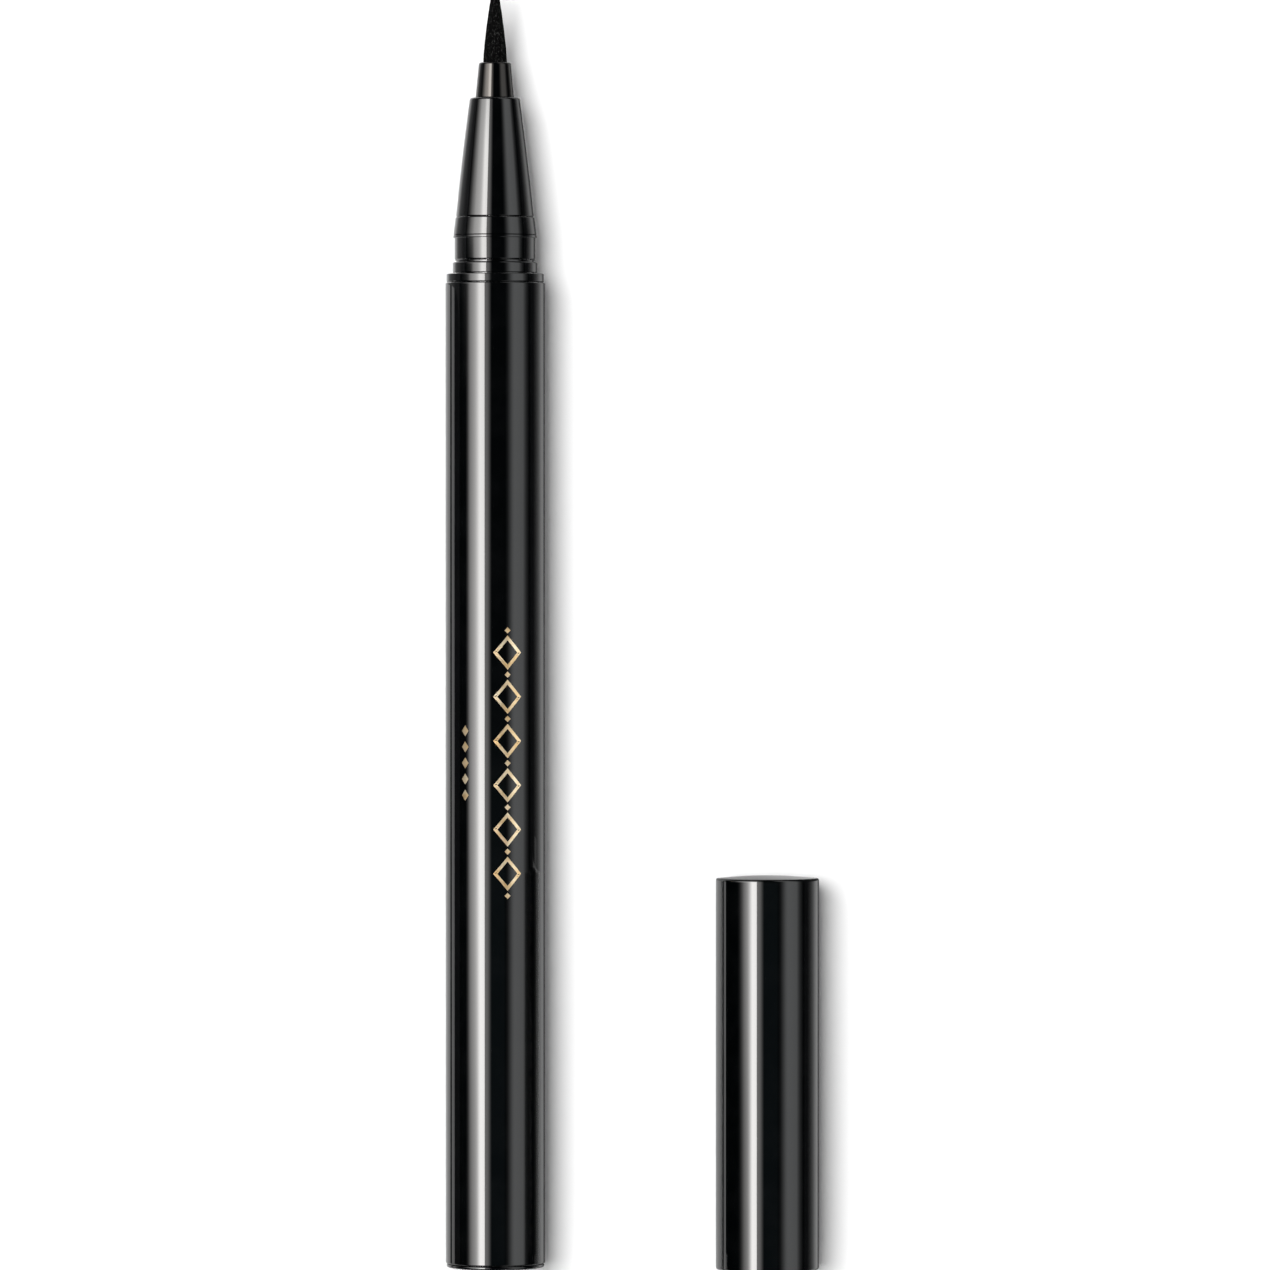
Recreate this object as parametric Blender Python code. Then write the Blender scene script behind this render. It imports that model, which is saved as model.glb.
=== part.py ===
"""Felt-tip eyeliner pen lying on its side, with its cap taken off and lying beside it.

The model is in metres. +Y runs from the pen's tail to its point, +Z is up, and the pen and the
cap both rest on z = 0. The origin is the middle of the footprint. Every turned piece is drawn
as an outline of radius and height about its own axis, with its base at height zero.
"""

from math import cos, pi, radians, sin, tan

import bmesh
import bpy
from mathutils import Vector

# Counts
SIDES = 32
COMB_SIDES = 24
ROUNDING_STEPS = 3
CONE_STEPS = 8
FELT_STEPS = 12
DOME_STEPS = 5
FIN_COUNT = 15
SPRING_TURNS = 6
POINTS_PER_TURN = 10
BALL_STEPS = 2

# Turned points nearer than this are one
WELD = 0.0000002

# Gaps between pieces
PRESS_GAP = 0.00003
FACE_GAP = 0.00003
SLIDE_GAP = 0.00006
TANK_GAP = 0.00008
BALL_GAP = 0.00005

# Felt tip
FELT_RADIUS = 0.001205
FELT_LENGTH = 0.00844
FELT_SHANK = 0.0080
FELT_POINT_RADIUS = 0.00010
FELT_OGIVE_POWER = 1.41

# Tip holder
HOLDER_WALL = 0.00067
HOLDER_SHANK = 0.0080
HOLDER_SHOULDER = 0.000065
HOLDER_LENGTH = 0.00348
HOLDER_LIP_WALL = 0.000385
HOLDER_LIP_ROUNDING = 0.00018

# Front cone
CONE_LEDGE = 0.00056
CONE_LENGTH = 0.01188
CONE_BOW = 0.00006
CONE_TOP_ROUNDING = 0.00025
CONE_SPIGOT_WALL = 0.00050
CONE_SPIGOT = 0.0060

# Front ring: the flare and the recessed neck
RING_SPIGOT_WALL = 0.00040
RING_SPIGOT = 0.0050
NECK_WALL = 0.001175
NECK_LENGTH = 0.00215
FLARE_LENGTH = 0.00209
FLARE_HEIGHT = 0.00016
FLARE_ROUNDING = 0.00010
CONE_FOOT_INSET = 0.00014
FLARE_STEP = 0.00004

# Coupling sleeve: the collar, the snap bead and the lip
COUPLING_DEPTH = 0.0075
COLLAR_LENGTH = 0.00085
COLLAR_STEP = 0.00011
COLLAR_ROUNDING = 0.00020
GROOVE_DEPTH = 0.00014
GROOVE_LENGTH = 0.00012
BEAD_LENGTH = 0.00095
BEAD_HEIGHT = 0.000195
BEAD_ROUNDING = 0.00022
LIP_LENGTH = 0.00020

# Barrel
BARREL_RADIUS = 0.0050
BARREL_WALL = 0.0006
BARREL_LENGTH = 0.09796
BARREL_ROUNDING = 0.00008

# Tail plug
TAIL_RIM_LENGTH = 0.00037
TAIL_RIM_STEP = 0.00008
TAIL_RIM_ROUNDING = 0.00018
TAIL_FLOOR = 0.0008
TAIL_PLUG_DEPTH = 0.0050
TAIL_PLUG_WALL = 0.0008

# Ink tank, its stopper and the ball inside
TANK_WALL = 0.0005
STOPPER_SEAT = 0.0003
STOPPER_FLANGE = 0.0006
STOPPER_DEPTH = 0.0030
STOPPER_WALL = 0.0008
BALL_RADIUS = 0.0015
BALL_END_GAP = 0.0001

# Comb collector and relay core
COMB_LENGTH = 0.0240
COMB_CORE_WALL = 0.0010
COMB_DISC = 0.0012
FIN_THICKNESS = 0.00055
FIN_GAP = 0.0003
RELAY_RADIUS = 0.0010
RELAY_REACH = 0.0015

# Inner cap and its guide
SEAT_HEIGHT = 0.0067
TIP_ROOM = 0.0010
INNER_CAP_WALL = 0.0007
INNER_CAP_END = 0.0009
INNER_CAP_FLANGE = 0.0010
INNER_CAP_TRAVEL = 0.0020
INNER_CAP_ROUNDING = 0.0002
GUIDE_LEAD = 0.00026

# Cap shell and crown
CAP_FIT_GAP = 0.000085
CAP_BORE_STEP = 0.0002
CAP_WALL = 0.000645
CAP_MOUTH_ROUNDING = 0.0006
CAP_MOUTH_CHAMFER = 0.00015
CAP_END_ROUNDING = 0.0003
SNAP_RIB_HEIGHT = 0.00022
SNAP_RIB_LENGTH = 0.0009
SNAP_RIB_ROUNDING = 0.00015
CROWN_PLATE = 0.0011
CROWN_LEDGE = 0.0001
CROWN_RISE = 0.00022
CROWN_SPIGOT = 0.0030
CROWN_SPIGOT_WALL = 0.0005

# Spring behind the inner cap
SPRING_LENGTH = 0.0086
SPRING_RADIUS = 0.0026
WIRE_RADIUS = 0.0002

# Where the cap lies
AXIS_SPACING = 0.02719
MOUTH_BEHIND_TAIL = 0.00023

# Radii, from the felt outwards
holder_bore = FELT_RADIUS + PRESS_GAP
holder_shank_radius = holder_bore + HOLDER_WALL
holder_base_radius = holder_shank_radius + HOLDER_SHOULDER
cone_bore = holder_shank_radius + PRESS_GAP
cone_top_radius = holder_base_radius + CONE_LEDGE
cone_spigot_radius = cone_bore + CONE_SPIGOT_WALL
ring_bore = cone_spigot_radius + PRESS_GAP
ring_spigot_radius = ring_bore + RING_SPIGOT_WALL
coupling_bore = ring_spigot_radius + PRESS_GAP
neck_radius = coupling_bore + NECK_WALL
bead_radius = neck_radius + BEAD_HEIGHT
flare_radius = neck_radius + FLARE_HEIGHT
cone_foot_radius = neck_radius - CONE_FOOT_INSET
flare_top_radius = cone_foot_radius + FLARE_STEP
relay_bore = RELAY_RADIUS + PRESS_GAP

# Radii, from the barrel inwards
barrel_bore = BARREL_RADIUS - BARREL_WALL
collar_radius = BARREL_RADIUS - COLLAR_STEP
tail_rim_radius = BARREL_RADIUS - TAIL_RIM_STEP
barrel_spigot_radius = barrel_bore - PRESS_GAP
tank_radius = barrel_bore - TANK_GAP
tank_bore = tank_radius - TANK_WALL

# Heights along the pen, from its tail
barrel_end = TAIL_RIM_LENGTH + FACE_GAP
barrel_front = barrel_end + BARREL_LENGTH
collar_base = barrel_front + FACE_GAP
collar_front = collar_base + COLLAR_LENGTH
bead_base = collar_front + GROOVE_LENGTH
lip_base = bead_base + BEAD_LENGTH + GROOVE_LENGTH
ring_base = lip_base + LIP_LENGTH + FACE_GAP
flare_base = ring_base + NECK_LENGTH
cone_foot = flare_base + FLARE_LENGTH + FACE_GAP
holder_base = cone_foot + CONE_LENGTH + FACE_GAP
holder_top = holder_base + HOLDER_LENGTH
felt_base = holder_top - FELT_SHANK
felt_point = holder_top + FELT_LENGTH
stopper_base = TAIL_RIM_LENGTH + TAIL_PLUG_DEPTH + STOPPER_SEAT
tank_base = stopper_base + STOPPER_FLANGE + FACE_GAP
tank_front = collar_base - COUPLING_DEPTH - FACE_GAP
comb_base = tank_front - COMB_LENGTH
relay_base = comb_base - RELAY_REACH
ball_start = stopper_base + STOPPER_FLANGE + STOPPER_DEPTH + BALL_RADIUS + BALL_END_GAP
ball_end = relay_base - BALL_RADIUS - BALL_END_GAP


def cone_radius_at(height):
    """Radius of the front cone's bowed side, at a height above its foot."""
    share = height / CONE_LENGTH
    straight = cone_foot_radius + (cone_top_radius - cone_foot_radius) * share
    return straight + CONE_BOW * 4 * share * (1 - share)


# Heights along the cap, from its mouth. The closed cap's mouth meets the collar's front face.
closed_mouth = collar_front + FACE_GAP
inner_cap_bore = cone_radius_at(SEAT_HEIGHT)
inner_cap_radius = inner_cap_bore + INNER_CAP_WALL
inner_cap_depth = felt_point - cone_foot - SEAT_HEIGHT + TIP_ROOM
inner_cap_length = inner_cap_depth + INNER_CAP_END
inner_cap_mouth = cone_foot + SEAT_HEIGHT - closed_mouth - INNER_CAP_TRAVEL
inner_cap_back = inner_cap_mouth + inner_cap_length
guide_front = inner_cap_mouth - GUIDE_LEAD
guide_back = inner_cap_back - INNER_CAP_FLANGE - FACE_GAP
spring_front = inner_cap_back + FACE_GAP
crown_inside = spring_front + SPRING_LENGTH + FACE_GAP
cap_end = crown_inside + CROWN_PLATE
snap_rib_middle = ring_base + NECK_LENGTH / 2 - closed_mouth

# Radii of the cap, from the snap bead outwards
mouth_bore = bead_radius + CAP_FIT_GAP
cap_bore = mouth_bore + CAP_BORE_STEP
cap_radius = cap_bore + CAP_WALL
guide_radius = cap_bore - PRESS_GAP
guide_bore = inner_cap_radius + SLIDE_GAP
crown_radius = cap_bore + CROWN_LEDGE

# Places of the two axes. A turned piece rests on a flat facet, which lies this share of its
# radius below its axis.
flat_share = cos(pi / SIDES)
pen_x = -(AXIS_SPACING + (cap_radius - BARREL_RADIUS) * flat_share) / 2
cap_x = pen_x + AXIS_SPACING
tail_y = -(felt_point - MOUTH_BEHIND_TAIL) / 2
mouth_y = tail_y - MOUTH_BEHIND_TAIL


def clear_scene():
    for thing in list(bpy.data.objects):
        bpy.data.objects.remove(thing, do_unlink=True)


def finish(name, colour, roughness, metallic=0.0):
    """A Principled material in one plain finish."""
    material = bpy.data.materials.new(name)
    material.use_nodes = True
    shader = material.node_tree.nodes["Principled BSDF"]
    shader.inputs["Base Color"].default_value = (*colour, 1.0)
    shader.inputs["Roughness"].default_value = roughness
    shader.inputs["Metallic"].default_value = metallic
    return material


def axis_empty(name, x, y, radius):
    """An empty on a lying piece's axis, whose own +Z runs along the piece to world +Y."""
    empty = bpy.data.objects.new(name, None)
    empty.location = (x, y, radius * flat_share)
    empty.rotation_euler = (radians(-90), 0, 0)
    empty.empty_display_size = radius
    bpy.context.scene.collection.objects.link(empty)
    return empty


def add_piece(name, data, axis, height, material):
    """Links an object along an axis empty, at a height above it."""
    piece = bpy.data.objects.new(name, data)
    piece.parent = axis
    piece.location = (0, 0, height)
    data.materials.append(material)
    bpy.context.scene.collection.objects.link(piece)
    return piece


def rounded_corner(before, corner, after, rounding):
    """Points of the arc that replaces a corner. The arc is never longer than half a side."""
    back = before - corner
    on = after - corner
    half_angle = back.angle(on) / 2
    reach = min(rounding / tan(half_angle), back.length / 2, on.length / 2)
    radius = reach * tan(half_angle)
    start = corner + back.normalized() * reach
    end = corner + on.normalized() * reach
    middle = corner + (back.normalized() + on.normalized()).normalized() * radius / sin(half_angle)
    points = []
    for step in range(ROUNDING_STEPS + 1):
        share = step / ROUNDING_STEPS
        chord = start.lerp(end, share) - middle
        points.append(middle + chord.normalized() * radius)
    return points


def round_outline(outline, closed):
    """The outline's points, with an arc at each corner that gives a third value, its rounding."""
    corners = [Vector(point[:2]) for point in outline]
    points = []
    for index, point in enumerate(outline):
        inner = closed or 0 < index < len(outline) - 1
        if len(point) == 3 and inner:
            after = corners[(index + 1) % len(corners)]
            points += rounded_corner(corners[index - 1], corners[index], after, point[2])
        else:
            points.append(corners[index])
    return points


def turned(outline, sides=SIDES):
    """A mesh turned from an outline of (radius, height) points, or (radius, height, rounding).

    An outline whose ends lie on the axis makes a solid, and any other one closes on itself.
    """
    closed = outline[0][0] > 0
    start = pi / sides
    shape = bmesh.new()
    verts = [
        shape.verts.new((point.x * cos(start), point.x * sin(start), point.y))
        for point in round_outline(outline, closed)
    ]
    pairs = list(zip(verts, verts[1:]))
    if closed:
        pairs.append((verts[-1], verts[0]))
    edges = [shape.edges.new(pair) for pair in pairs]
    bmesh.ops.spin(
        shape,
        geom=verts + edges,
        cent=(0, 0, 0),
        axis=(0, 0, 1),
        angle=2 * pi,
        steps=sides,
        use_merge=True,
    )
    bmesh.ops.remove_doubles(shape, verts=shape.verts, dist=WELD)
    bmesh.ops.recalc_face_normals(shape, faces=shape.faces)
    mesh = bpy.data.meshes.new("turned")
    shape.to_mesh(mesh)
    shape.free()
    mesh.shade_smooth()
    mesh.set_sharp_from_angle(angle=radians(30))
    return mesh


def tube(outer, bore, length, rounding=0.0):
    """Outline of a plain tube whose outer edges are rounded."""
    return [
        (bore, 0),
        (outer, 0, rounding),
        (outer, length, rounding),
        (bore, length),
    ]


def barrel_shell(axis, material):
    outline = tube(BARREL_RADIUS, barrel_bore, BARREL_LENGTH, BARREL_ROUNDING)
    return add_piece("barrel_shell", turned(outline), axis, barrel_end, material)


def tail_plug(axis, material):
    """A cup pushed into the barrel, whose rim stands behind the barrel's end."""
    floor = TAIL_RIM_LENGTH + TAIL_FLOOR
    depth = TAIL_RIM_LENGTH + TAIL_PLUG_DEPTH
    bore = barrel_spigot_radius - TAIL_PLUG_WALL
    outline = [
        (0, 0),
        (tail_rim_radius, 0, TAIL_RIM_ROUNDING),
        (tail_rim_radius, TAIL_RIM_LENGTH),
        (barrel_spigot_radius, TAIL_RIM_LENGTH),
        (barrel_spigot_radius, depth),
        (bore, depth),
        (bore, floor),
        (0, floor),
    ]
    return add_piece("tail_plug", turned(outline), axis, 0, material)


def ink_tank(axis, material):
    outline = tube(tank_radius, tank_bore, tank_front - tank_base)
    return add_piece("ink_tank", turned(outline), axis, tank_base, material)


def tank_stopper(axis, material):
    """A cup, open to the tail, pressed into the tank with its flange on the tank's end."""
    spigot = tank_bore - PRESS_GAP
    recess = spigot - STOPPER_WALL
    depth = STOPPER_FLANGE + STOPPER_DEPTH
    outline = [
        (0, depth),
        (spigot, depth, STOPPER_WALL / 2),
        (spigot, STOPPER_FLANGE),
        (tank_radius, STOPPER_FLANGE),
        (tank_radius, 0),
        (recess, 0),
        (recess, depth - STOPPER_WALL),
        (0, depth - STOPPER_WALL),
    ]
    return add_piece("tank_stopper", turned(outline), axis, stopper_base, material)


def mixing_ball(axis, material):
    """The ball lies on the lowest facet of the tank's bore. Local +Y is down."""
    shape = bmesh.new()
    bmesh.ops.create_icosphere(shape, subdivisions=BALL_STEPS, radius=BALL_RADIUS)
    mesh = bpy.data.meshes.new("ball")
    shape.to_mesh(mesh)
    shape.free()
    mesh.shade_smooth()
    piece = add_piece("mixing_ball", mesh, axis, ball_start, material)
    piece.location.y = tank_bore * flat_share - BALL_RADIUS - BALL_GAP
    return piece


def comb_collector(axis, material):
    """A bored core with a disc at each end and thin fins between them."""
    core = relay_bore + COMB_CORE_WALL
    disc = tank_bore * flat_share - PRESS_GAP
    fin = disc - FIN_GAP
    first = COMB_DISC
    last = COMB_LENGTH - COMB_DISC
    pitch = (last - first + FIN_THICKNESS) / (FIN_COUNT + 1)
    outline = [
        (relay_bore, 0),
        (disc, 0),
        (disc, first),
        (core, first),
    ]
    for index in range(FIN_COUNT):
        base = first - FIN_THICKNESS + (index + 1) * pitch
        outline += [
            (core, base),
            (fin, base),
            (fin, base + FIN_THICKNESS),
            (core, base + FIN_THICKNESS),
        ]
    outline += [
        (core, last),
        (disc, last),
        (disc, COMB_LENGTH),
        (relay_bore, COMB_LENGTH),
    ]
    return add_piece("comb_collector", turned(outline, COMB_SIDES), axis, comb_base, material)


def relay_core(axis, material):
    length = felt_base - FACE_GAP - relay_base
    outline = [
        (0, 0),
        (RELAY_RADIUS, 0, RELAY_RADIUS / 4),
        (RELAY_RADIUS, length, RELAY_RADIUS / 4),
        (0, length),
    ]
    return add_piece("relay_core", turned(outline, COMB_SIDES), axis, relay_base, material)


def felt_tip(axis, material):
    """A shank in the holder, and in front of it an ogive that ends in a small round point."""
    outline = [(0, 0), (FELT_RADIUS, 0, FELT_RADIUS / 4)]
    for step in range(FELT_STEPS):
        share = step / FELT_STEPS
        taper = (FELT_RADIUS - FELT_POINT_RADIUS) * share**FELT_OGIVE_POWER
        outline.append((FELT_RADIUS - taper, FELT_SHANK + FELT_LENGTH * share))
    point = FELT_SHANK + FELT_LENGTH
    outline += [(FELT_POINT_RADIUS, point, FELT_POINT_RADIUS), (0, point)]
    return add_piece("felt_tip", turned(outline), axis, felt_base, material)


def tip_holder(axis, material):
    """A shank in the cone, and a tapering sleeve in front of it round the felt."""
    top = HOLDER_SHANK + HOLDER_LENGTH
    outline = [
        (holder_bore, 0),
        (holder_shank_radius, 0),
        (holder_shank_radius, HOLDER_SHANK),
        (holder_base_radius, HOLDER_SHANK + FACE_GAP),
        (holder_bore + HOLDER_LIP_WALL, top, HOLDER_LIP_ROUNDING),
        (holder_bore, top),
    ]
    place = holder_base - HOLDER_SHANK
    return add_piece("tip_holder", turned(outline), axis, place, material)


def front_cone(axis, material):
    """A spigot in the front ring, and in front of it a bowed cone."""
    outline = [
        (cone_bore, 0),
        (cone_spigot_radius, 0),
        (cone_spigot_radius, CONE_SPIGOT),
    ]
    for step in range(CONE_STEPS):
        height = CONE_LENGTH * step / CONE_STEPS
        outline.append((cone_radius_at(height), CONE_SPIGOT + height))
    top = CONE_SPIGOT + CONE_LENGTH
    outline += [(cone_top_radius, top, CONE_TOP_ROUNDING), (cone_bore, top)]
    place = cone_foot - CONE_SPIGOT
    return add_piece("front_cone", turned(outline), axis, place, material)


def front_ring(axis, material):
    """A spigot in the coupling, the recessed neck and the flare."""
    neck_top = RING_SPIGOT + NECK_LENGTH
    top = neck_top + FLARE_LENGTH
    outline = [
        (ring_bore, 0),
        (ring_spigot_radius, 0),
        (ring_spigot_radius, RING_SPIGOT),
        (neck_radius, RING_SPIGOT),
        (neck_radius, neck_top),
        (flare_radius, neck_top, FLARE_ROUNDING),
        (flare_top_radius, top),
        (ring_bore, top),
    ]
    return add_piece("front_ring", turned(outline), axis, ring_base - RING_SPIGOT, material)


def coupling_sleeve(axis, material):
    """A spigot in the barrel, the collar on the barrel's end, the snap bead and the lip."""
    collar = COUPLING_DEPTH
    groove = neck_radius - GROOVE_DEPTH
    collar_top = collar + COLLAR_LENGTH
    bead = collar_top + GROOVE_LENGTH
    bead_top = bead + BEAD_LENGTH
    lip = bead_top + GROOVE_LENGTH
    top = lip + LIP_LENGTH
    outline = [
        (coupling_bore, 0),
        (barrel_spigot_radius, 0),
        (barrel_spigot_radius, collar),
        (collar_radius, collar),
        (collar_radius, collar_top, COLLAR_ROUNDING),
        (groove, collar_top),
        (groove, bead),
        (bead_radius, bead, BEAD_ROUNDING),
        (bead_radius, bead_top, BEAD_ROUNDING),
        (groove, bead_top),
        (groove, lip),
        (neck_radius, lip),
        (neck_radius, top),
        (coupling_bore, top),
    ]
    place = collar_base - COUPLING_DEPTH
    return add_piece("coupling_sleeve", turned(outline), axis, place, material)


def cap_shell(axis, material):
    """A tube with a snap rib in its mouth, a step for the guide and a ledge for the crown."""
    rib = mouth_bore - SNAP_RIB_HEIGHT
    rib_base = snap_rib_middle - SNAP_RIB_LENGTH / 2
    rib_top = snap_rib_middle + SNAP_RIB_LENGTH / 2
    step = guide_front - FACE_GAP
    ledge = crown_radius + PRESS_GAP
    ledge_base = crown_inside - FACE_GAP
    outline = [
        (cap_radius, cap_end, CAP_END_ROUNDING),
        (ledge, cap_end),
        (ledge, ledge_base),
        (cap_bore, ledge_base),
        (cap_bore, step),
        (mouth_bore, step),
        (mouth_bore, rib_top),
        (rib, rib_top, SNAP_RIB_ROUNDING),
        (rib, rib_base, SNAP_RIB_ROUNDING),
        (mouth_bore, rib_base),
        (mouth_bore, 0, CAP_MOUTH_CHAMFER),
        (cap_radius, 0, CAP_MOUTH_ROUNDING),
    ]
    return add_piece("cap_shell", turned(outline), axis, 0, material)


def cap_crown(axis, material):
    """A plate on the shell's ledge with a low dome outside and a spigot ring inside."""
    spigot = cap_bore - PRESS_GAP
    spigot_bore = spigot - CROWN_SPIGOT_WALL
    plate = CROWN_SPIGOT + CROWN_PLATE
    outline = [
        (0, CROWN_SPIGOT),
        (spigot_bore, CROWN_SPIGOT),
        (spigot_bore, 0),
        (spigot, 0),
        (spigot, CROWN_SPIGOT),
        (crown_radius, CROWN_SPIGOT),
    ]
    for step in range(DOME_STEPS + 1):
        share = 1 - step / DOME_STEPS
        outline.append((crown_radius * share, plate + CROWN_RISE * (1 - share**2)))
    place = crown_inside - CROWN_SPIGOT
    return add_piece("cap_crown", turned(outline), axis, place, material)


def inner_cap_guide(axis, material):
    outline = tube(guide_radius, guide_bore, guide_back - guide_front)
    return add_piece("inner_cap_guide", turned(outline), axis, guide_front, material)


def inner_cap(axis, material):
    """A long cup that fits over the tip, with a flange at its closed end."""
    flange = cap_bore - SLIDE_GAP
    flange_base = inner_cap_length - INNER_CAP_FLANGE
    outline = [
        (0, inner_cap_depth),
        (inner_cap_bore, inner_cap_depth, INNER_CAP_ROUNDING),
        (inner_cap_bore, 0, INNER_CAP_ROUNDING),
        (inner_cap_radius, 0, INNER_CAP_ROUNDING),
        (inner_cap_radius, flange_base),
        (flange, flange_base),
        (flange, inner_cap_length),
        (0, inner_cap_length),
    ]
    return add_piece("inner_cap", turned(outline), axis, inner_cap_mouth, material)


def spring_points():
    """The wire's middle line: a straight end, the turns, and a straight end."""
    straight = 2 * WIRE_RADIUS
    rise = SPRING_LENGTH - 2 * straight
    points = [Vector((SPRING_RADIUS, 0, 0))]
    count = SPRING_TURNS * POINTS_PER_TURN
    for index in range(count + 1):
        angle = 2 * pi * index / POINTS_PER_TURN
        height = straight + rise * index / count
        points.append(Vector((SPRING_RADIUS * cos(angle), SPRING_RADIUS * sin(angle), height)))
    points.append(Vector((SPRING_RADIUS, 0, SPRING_LENGTH)))
    return points


def least_gap(points):
    """Smallest gap of the wire to itself, measured between points of different turns."""
    apart = POINTS_PER_TURN // 2
    spans = [
        (points[first] - points[second]).length
        for first in range(len(points))
        for second in range(first + apart, len(points))
    ]
    return min(spans) - 2 * WIRE_RADIUS


def inner_cap_spring(axis, material):
    points = spring_points()
    curve = bpy.data.curves.new("spring", "CURVE")
    curve.dimensions = "3D"
    curve.bevel_depth = WIRE_RADIUS
    curve.bevel_resolution = 1
    curve.use_fill_caps = True
    spline = curve.splines.new("POLY")
    spline.points.add(len(points) - 1)
    for target, point in zip(spline.points, points):
        target.co = (*point, 1)
    print(f"inner_cap_spring: least gap to itself {least_gap(points):.6f} m")
    return add_piece("inner_cap_spring", curve, axis, spring_front, material)


def main():
    clear_scene()
    gloss_black = finish("gloss_black", (0.012, 0.012, 0.014), 0.12)
    felt_black = finish("felt_black", (0.018, 0.018, 0.020), 0.9)
    clear_natural = finish("natural_plastic", (0.78, 0.79, 0.77), 0.4)
    comb_white = finish("comb_white", (0.85, 0.85, 0.83), 0.5)
    fibre = finish("fibre", (0.06, 0.06, 0.065), 0.85)
    steel = finish("steel", (0.62, 0.62, 0.64), 0.2, 1.0)

    pen = axis_empty("pen_axis", pen_x, tail_y, BARREL_RADIUS)
    barrel_shell(pen, gloss_black)
    tail_plug(pen, gloss_black)
    coupling_sleeve(pen, gloss_black)
    front_ring(pen, gloss_black)
    front_cone(pen, gloss_black)
    tip_holder(pen, gloss_black)
    felt_tip(pen, felt_black)
    ink_tank(pen, clear_natural)
    tank_stopper(pen, clear_natural)
    mixing_ball(pen, steel)
    comb_collector(pen, comb_white)
    relay_core(pen, fibre)

    cap = axis_empty("cap_axis", cap_x, mouth_y, cap_radius)
    cap_shell(cap, gloss_black)
    cap_crown(cap, gloss_black)
    inner_cap_guide(cap, clear_natural)
    inner_cap(cap, clear_natural)
    inner_cap_spring(cap, steel)
    print(f"mixing ball travel {ball_end - ball_start:.5f} m")
    print(f"inner cap travel {INNER_CAP_TRAVEL:.5f} m")


main()
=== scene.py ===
"""Dresses the frame of a felt-tip eyeliner pen that lies beside its cap.

Units are metres. +Y runs from the pen's tail to its point and +Z is up. Every turned piece is drawn
as an outline of radius and height about its own axis, from the end that lies nearest to -Y.
"""

from math import atan2, cos, pi, radians, sin, tan

import bmesh
import bpy
from bpy.props import FloatProperty, FloatVectorProperty, IntProperty, PointerProperty
from bpy.types import Node, NodeSocket, Operator, Panel, PropertyGroup
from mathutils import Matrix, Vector, noise


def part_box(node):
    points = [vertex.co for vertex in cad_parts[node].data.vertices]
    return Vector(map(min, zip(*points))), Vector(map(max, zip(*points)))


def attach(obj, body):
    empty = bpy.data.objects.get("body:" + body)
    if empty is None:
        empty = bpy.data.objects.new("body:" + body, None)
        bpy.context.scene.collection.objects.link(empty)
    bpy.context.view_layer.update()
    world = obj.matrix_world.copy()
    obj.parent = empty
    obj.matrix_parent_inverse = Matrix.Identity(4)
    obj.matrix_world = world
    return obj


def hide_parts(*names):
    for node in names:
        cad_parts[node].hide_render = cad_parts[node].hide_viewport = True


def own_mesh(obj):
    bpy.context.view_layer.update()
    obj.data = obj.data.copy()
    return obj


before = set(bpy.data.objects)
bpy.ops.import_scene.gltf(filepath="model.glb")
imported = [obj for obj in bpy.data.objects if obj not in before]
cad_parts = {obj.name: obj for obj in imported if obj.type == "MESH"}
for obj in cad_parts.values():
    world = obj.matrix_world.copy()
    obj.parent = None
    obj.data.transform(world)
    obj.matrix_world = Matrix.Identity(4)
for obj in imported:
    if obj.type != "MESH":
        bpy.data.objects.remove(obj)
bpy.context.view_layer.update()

bl_info = {
    "name": "Felt-tip Eyeliner",
    "version": (1, 0, 0),
    "blender": (4, 5, 0),
    "location": "View3D > Sidebar > Eyeliner",
    "description": "Builds the polished pieces of a felt-tip eyeliner pen and its cap",
    "category": "Add Mesh",
}

# The frame's pieces have flat sides, and the round pieces here touch those sides from within
FRAME_SIDES = 32
FIT = cos(pi / FRAME_SIDES)

# How meshes are drawn, and the turn that lays a piece drawn along +Z along +Y
ROUNDING_STEPS = 6
HOLD = 0.00003
MERGE_DISTANCE = 0.0000002
SMOOTH_ANGLE = radians(32)
TURN = (radians(-90), 0, 0)

# The node whose axis the turned pieces of each body share
AXES = {"pen": "barrel_shell", "cap": "cap_shell", "inner_cap": "cap_shell"}

# How strongly the tip holder's plastic bends light, which makes its gloss softer
HOLDER_IOR = 1.4

# The felt's nap: how much each layer of its noise fades, how much finer it is, and how many there are
NAP_LAYERS = (1.0, 2.0, 3)

# The stage's floor and cards, and how far the crown's card goes past the cap's end
REACH = 1.5
FLOOR_DROP = 0.00002
FLOOR_SIDES = 96
CARD_LIFT = 0.0001
CROWN_REACH = 0.003
UPRIGHT_LEVEL = 2.0

# The shoulder panel hangs a little nearer, because one of two panels in the same surface is missed
SHOULDER_NEARNESS = 0.98

# The lamp's angles from straight up, across X and along Y
LAMP_ACROSS = (radians(-29), radians(-2))
LAMP_ALONG = (radians(-5), radians(25))

# The picture's side, and where the pen's axis, its tail and the point under the camera lie, in pixels
PICTURE = 1270
PEN_COLUMN = 495.2
TAIL_ROW = 1267.4
UNDER_ROW = 520

# The camera's sensor in millimetres, and how many metres away it still sees
SENSOR_WIDTH = 36
CLIP_END = 20


def setting(kind, **fixed):
    """A short way to write one kind of setting that the panel shows, with its limits and its unit."""

    def write(name, description, default):
        return kind(name=name, description=description, default=default, **fixed)

    return write


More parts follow.
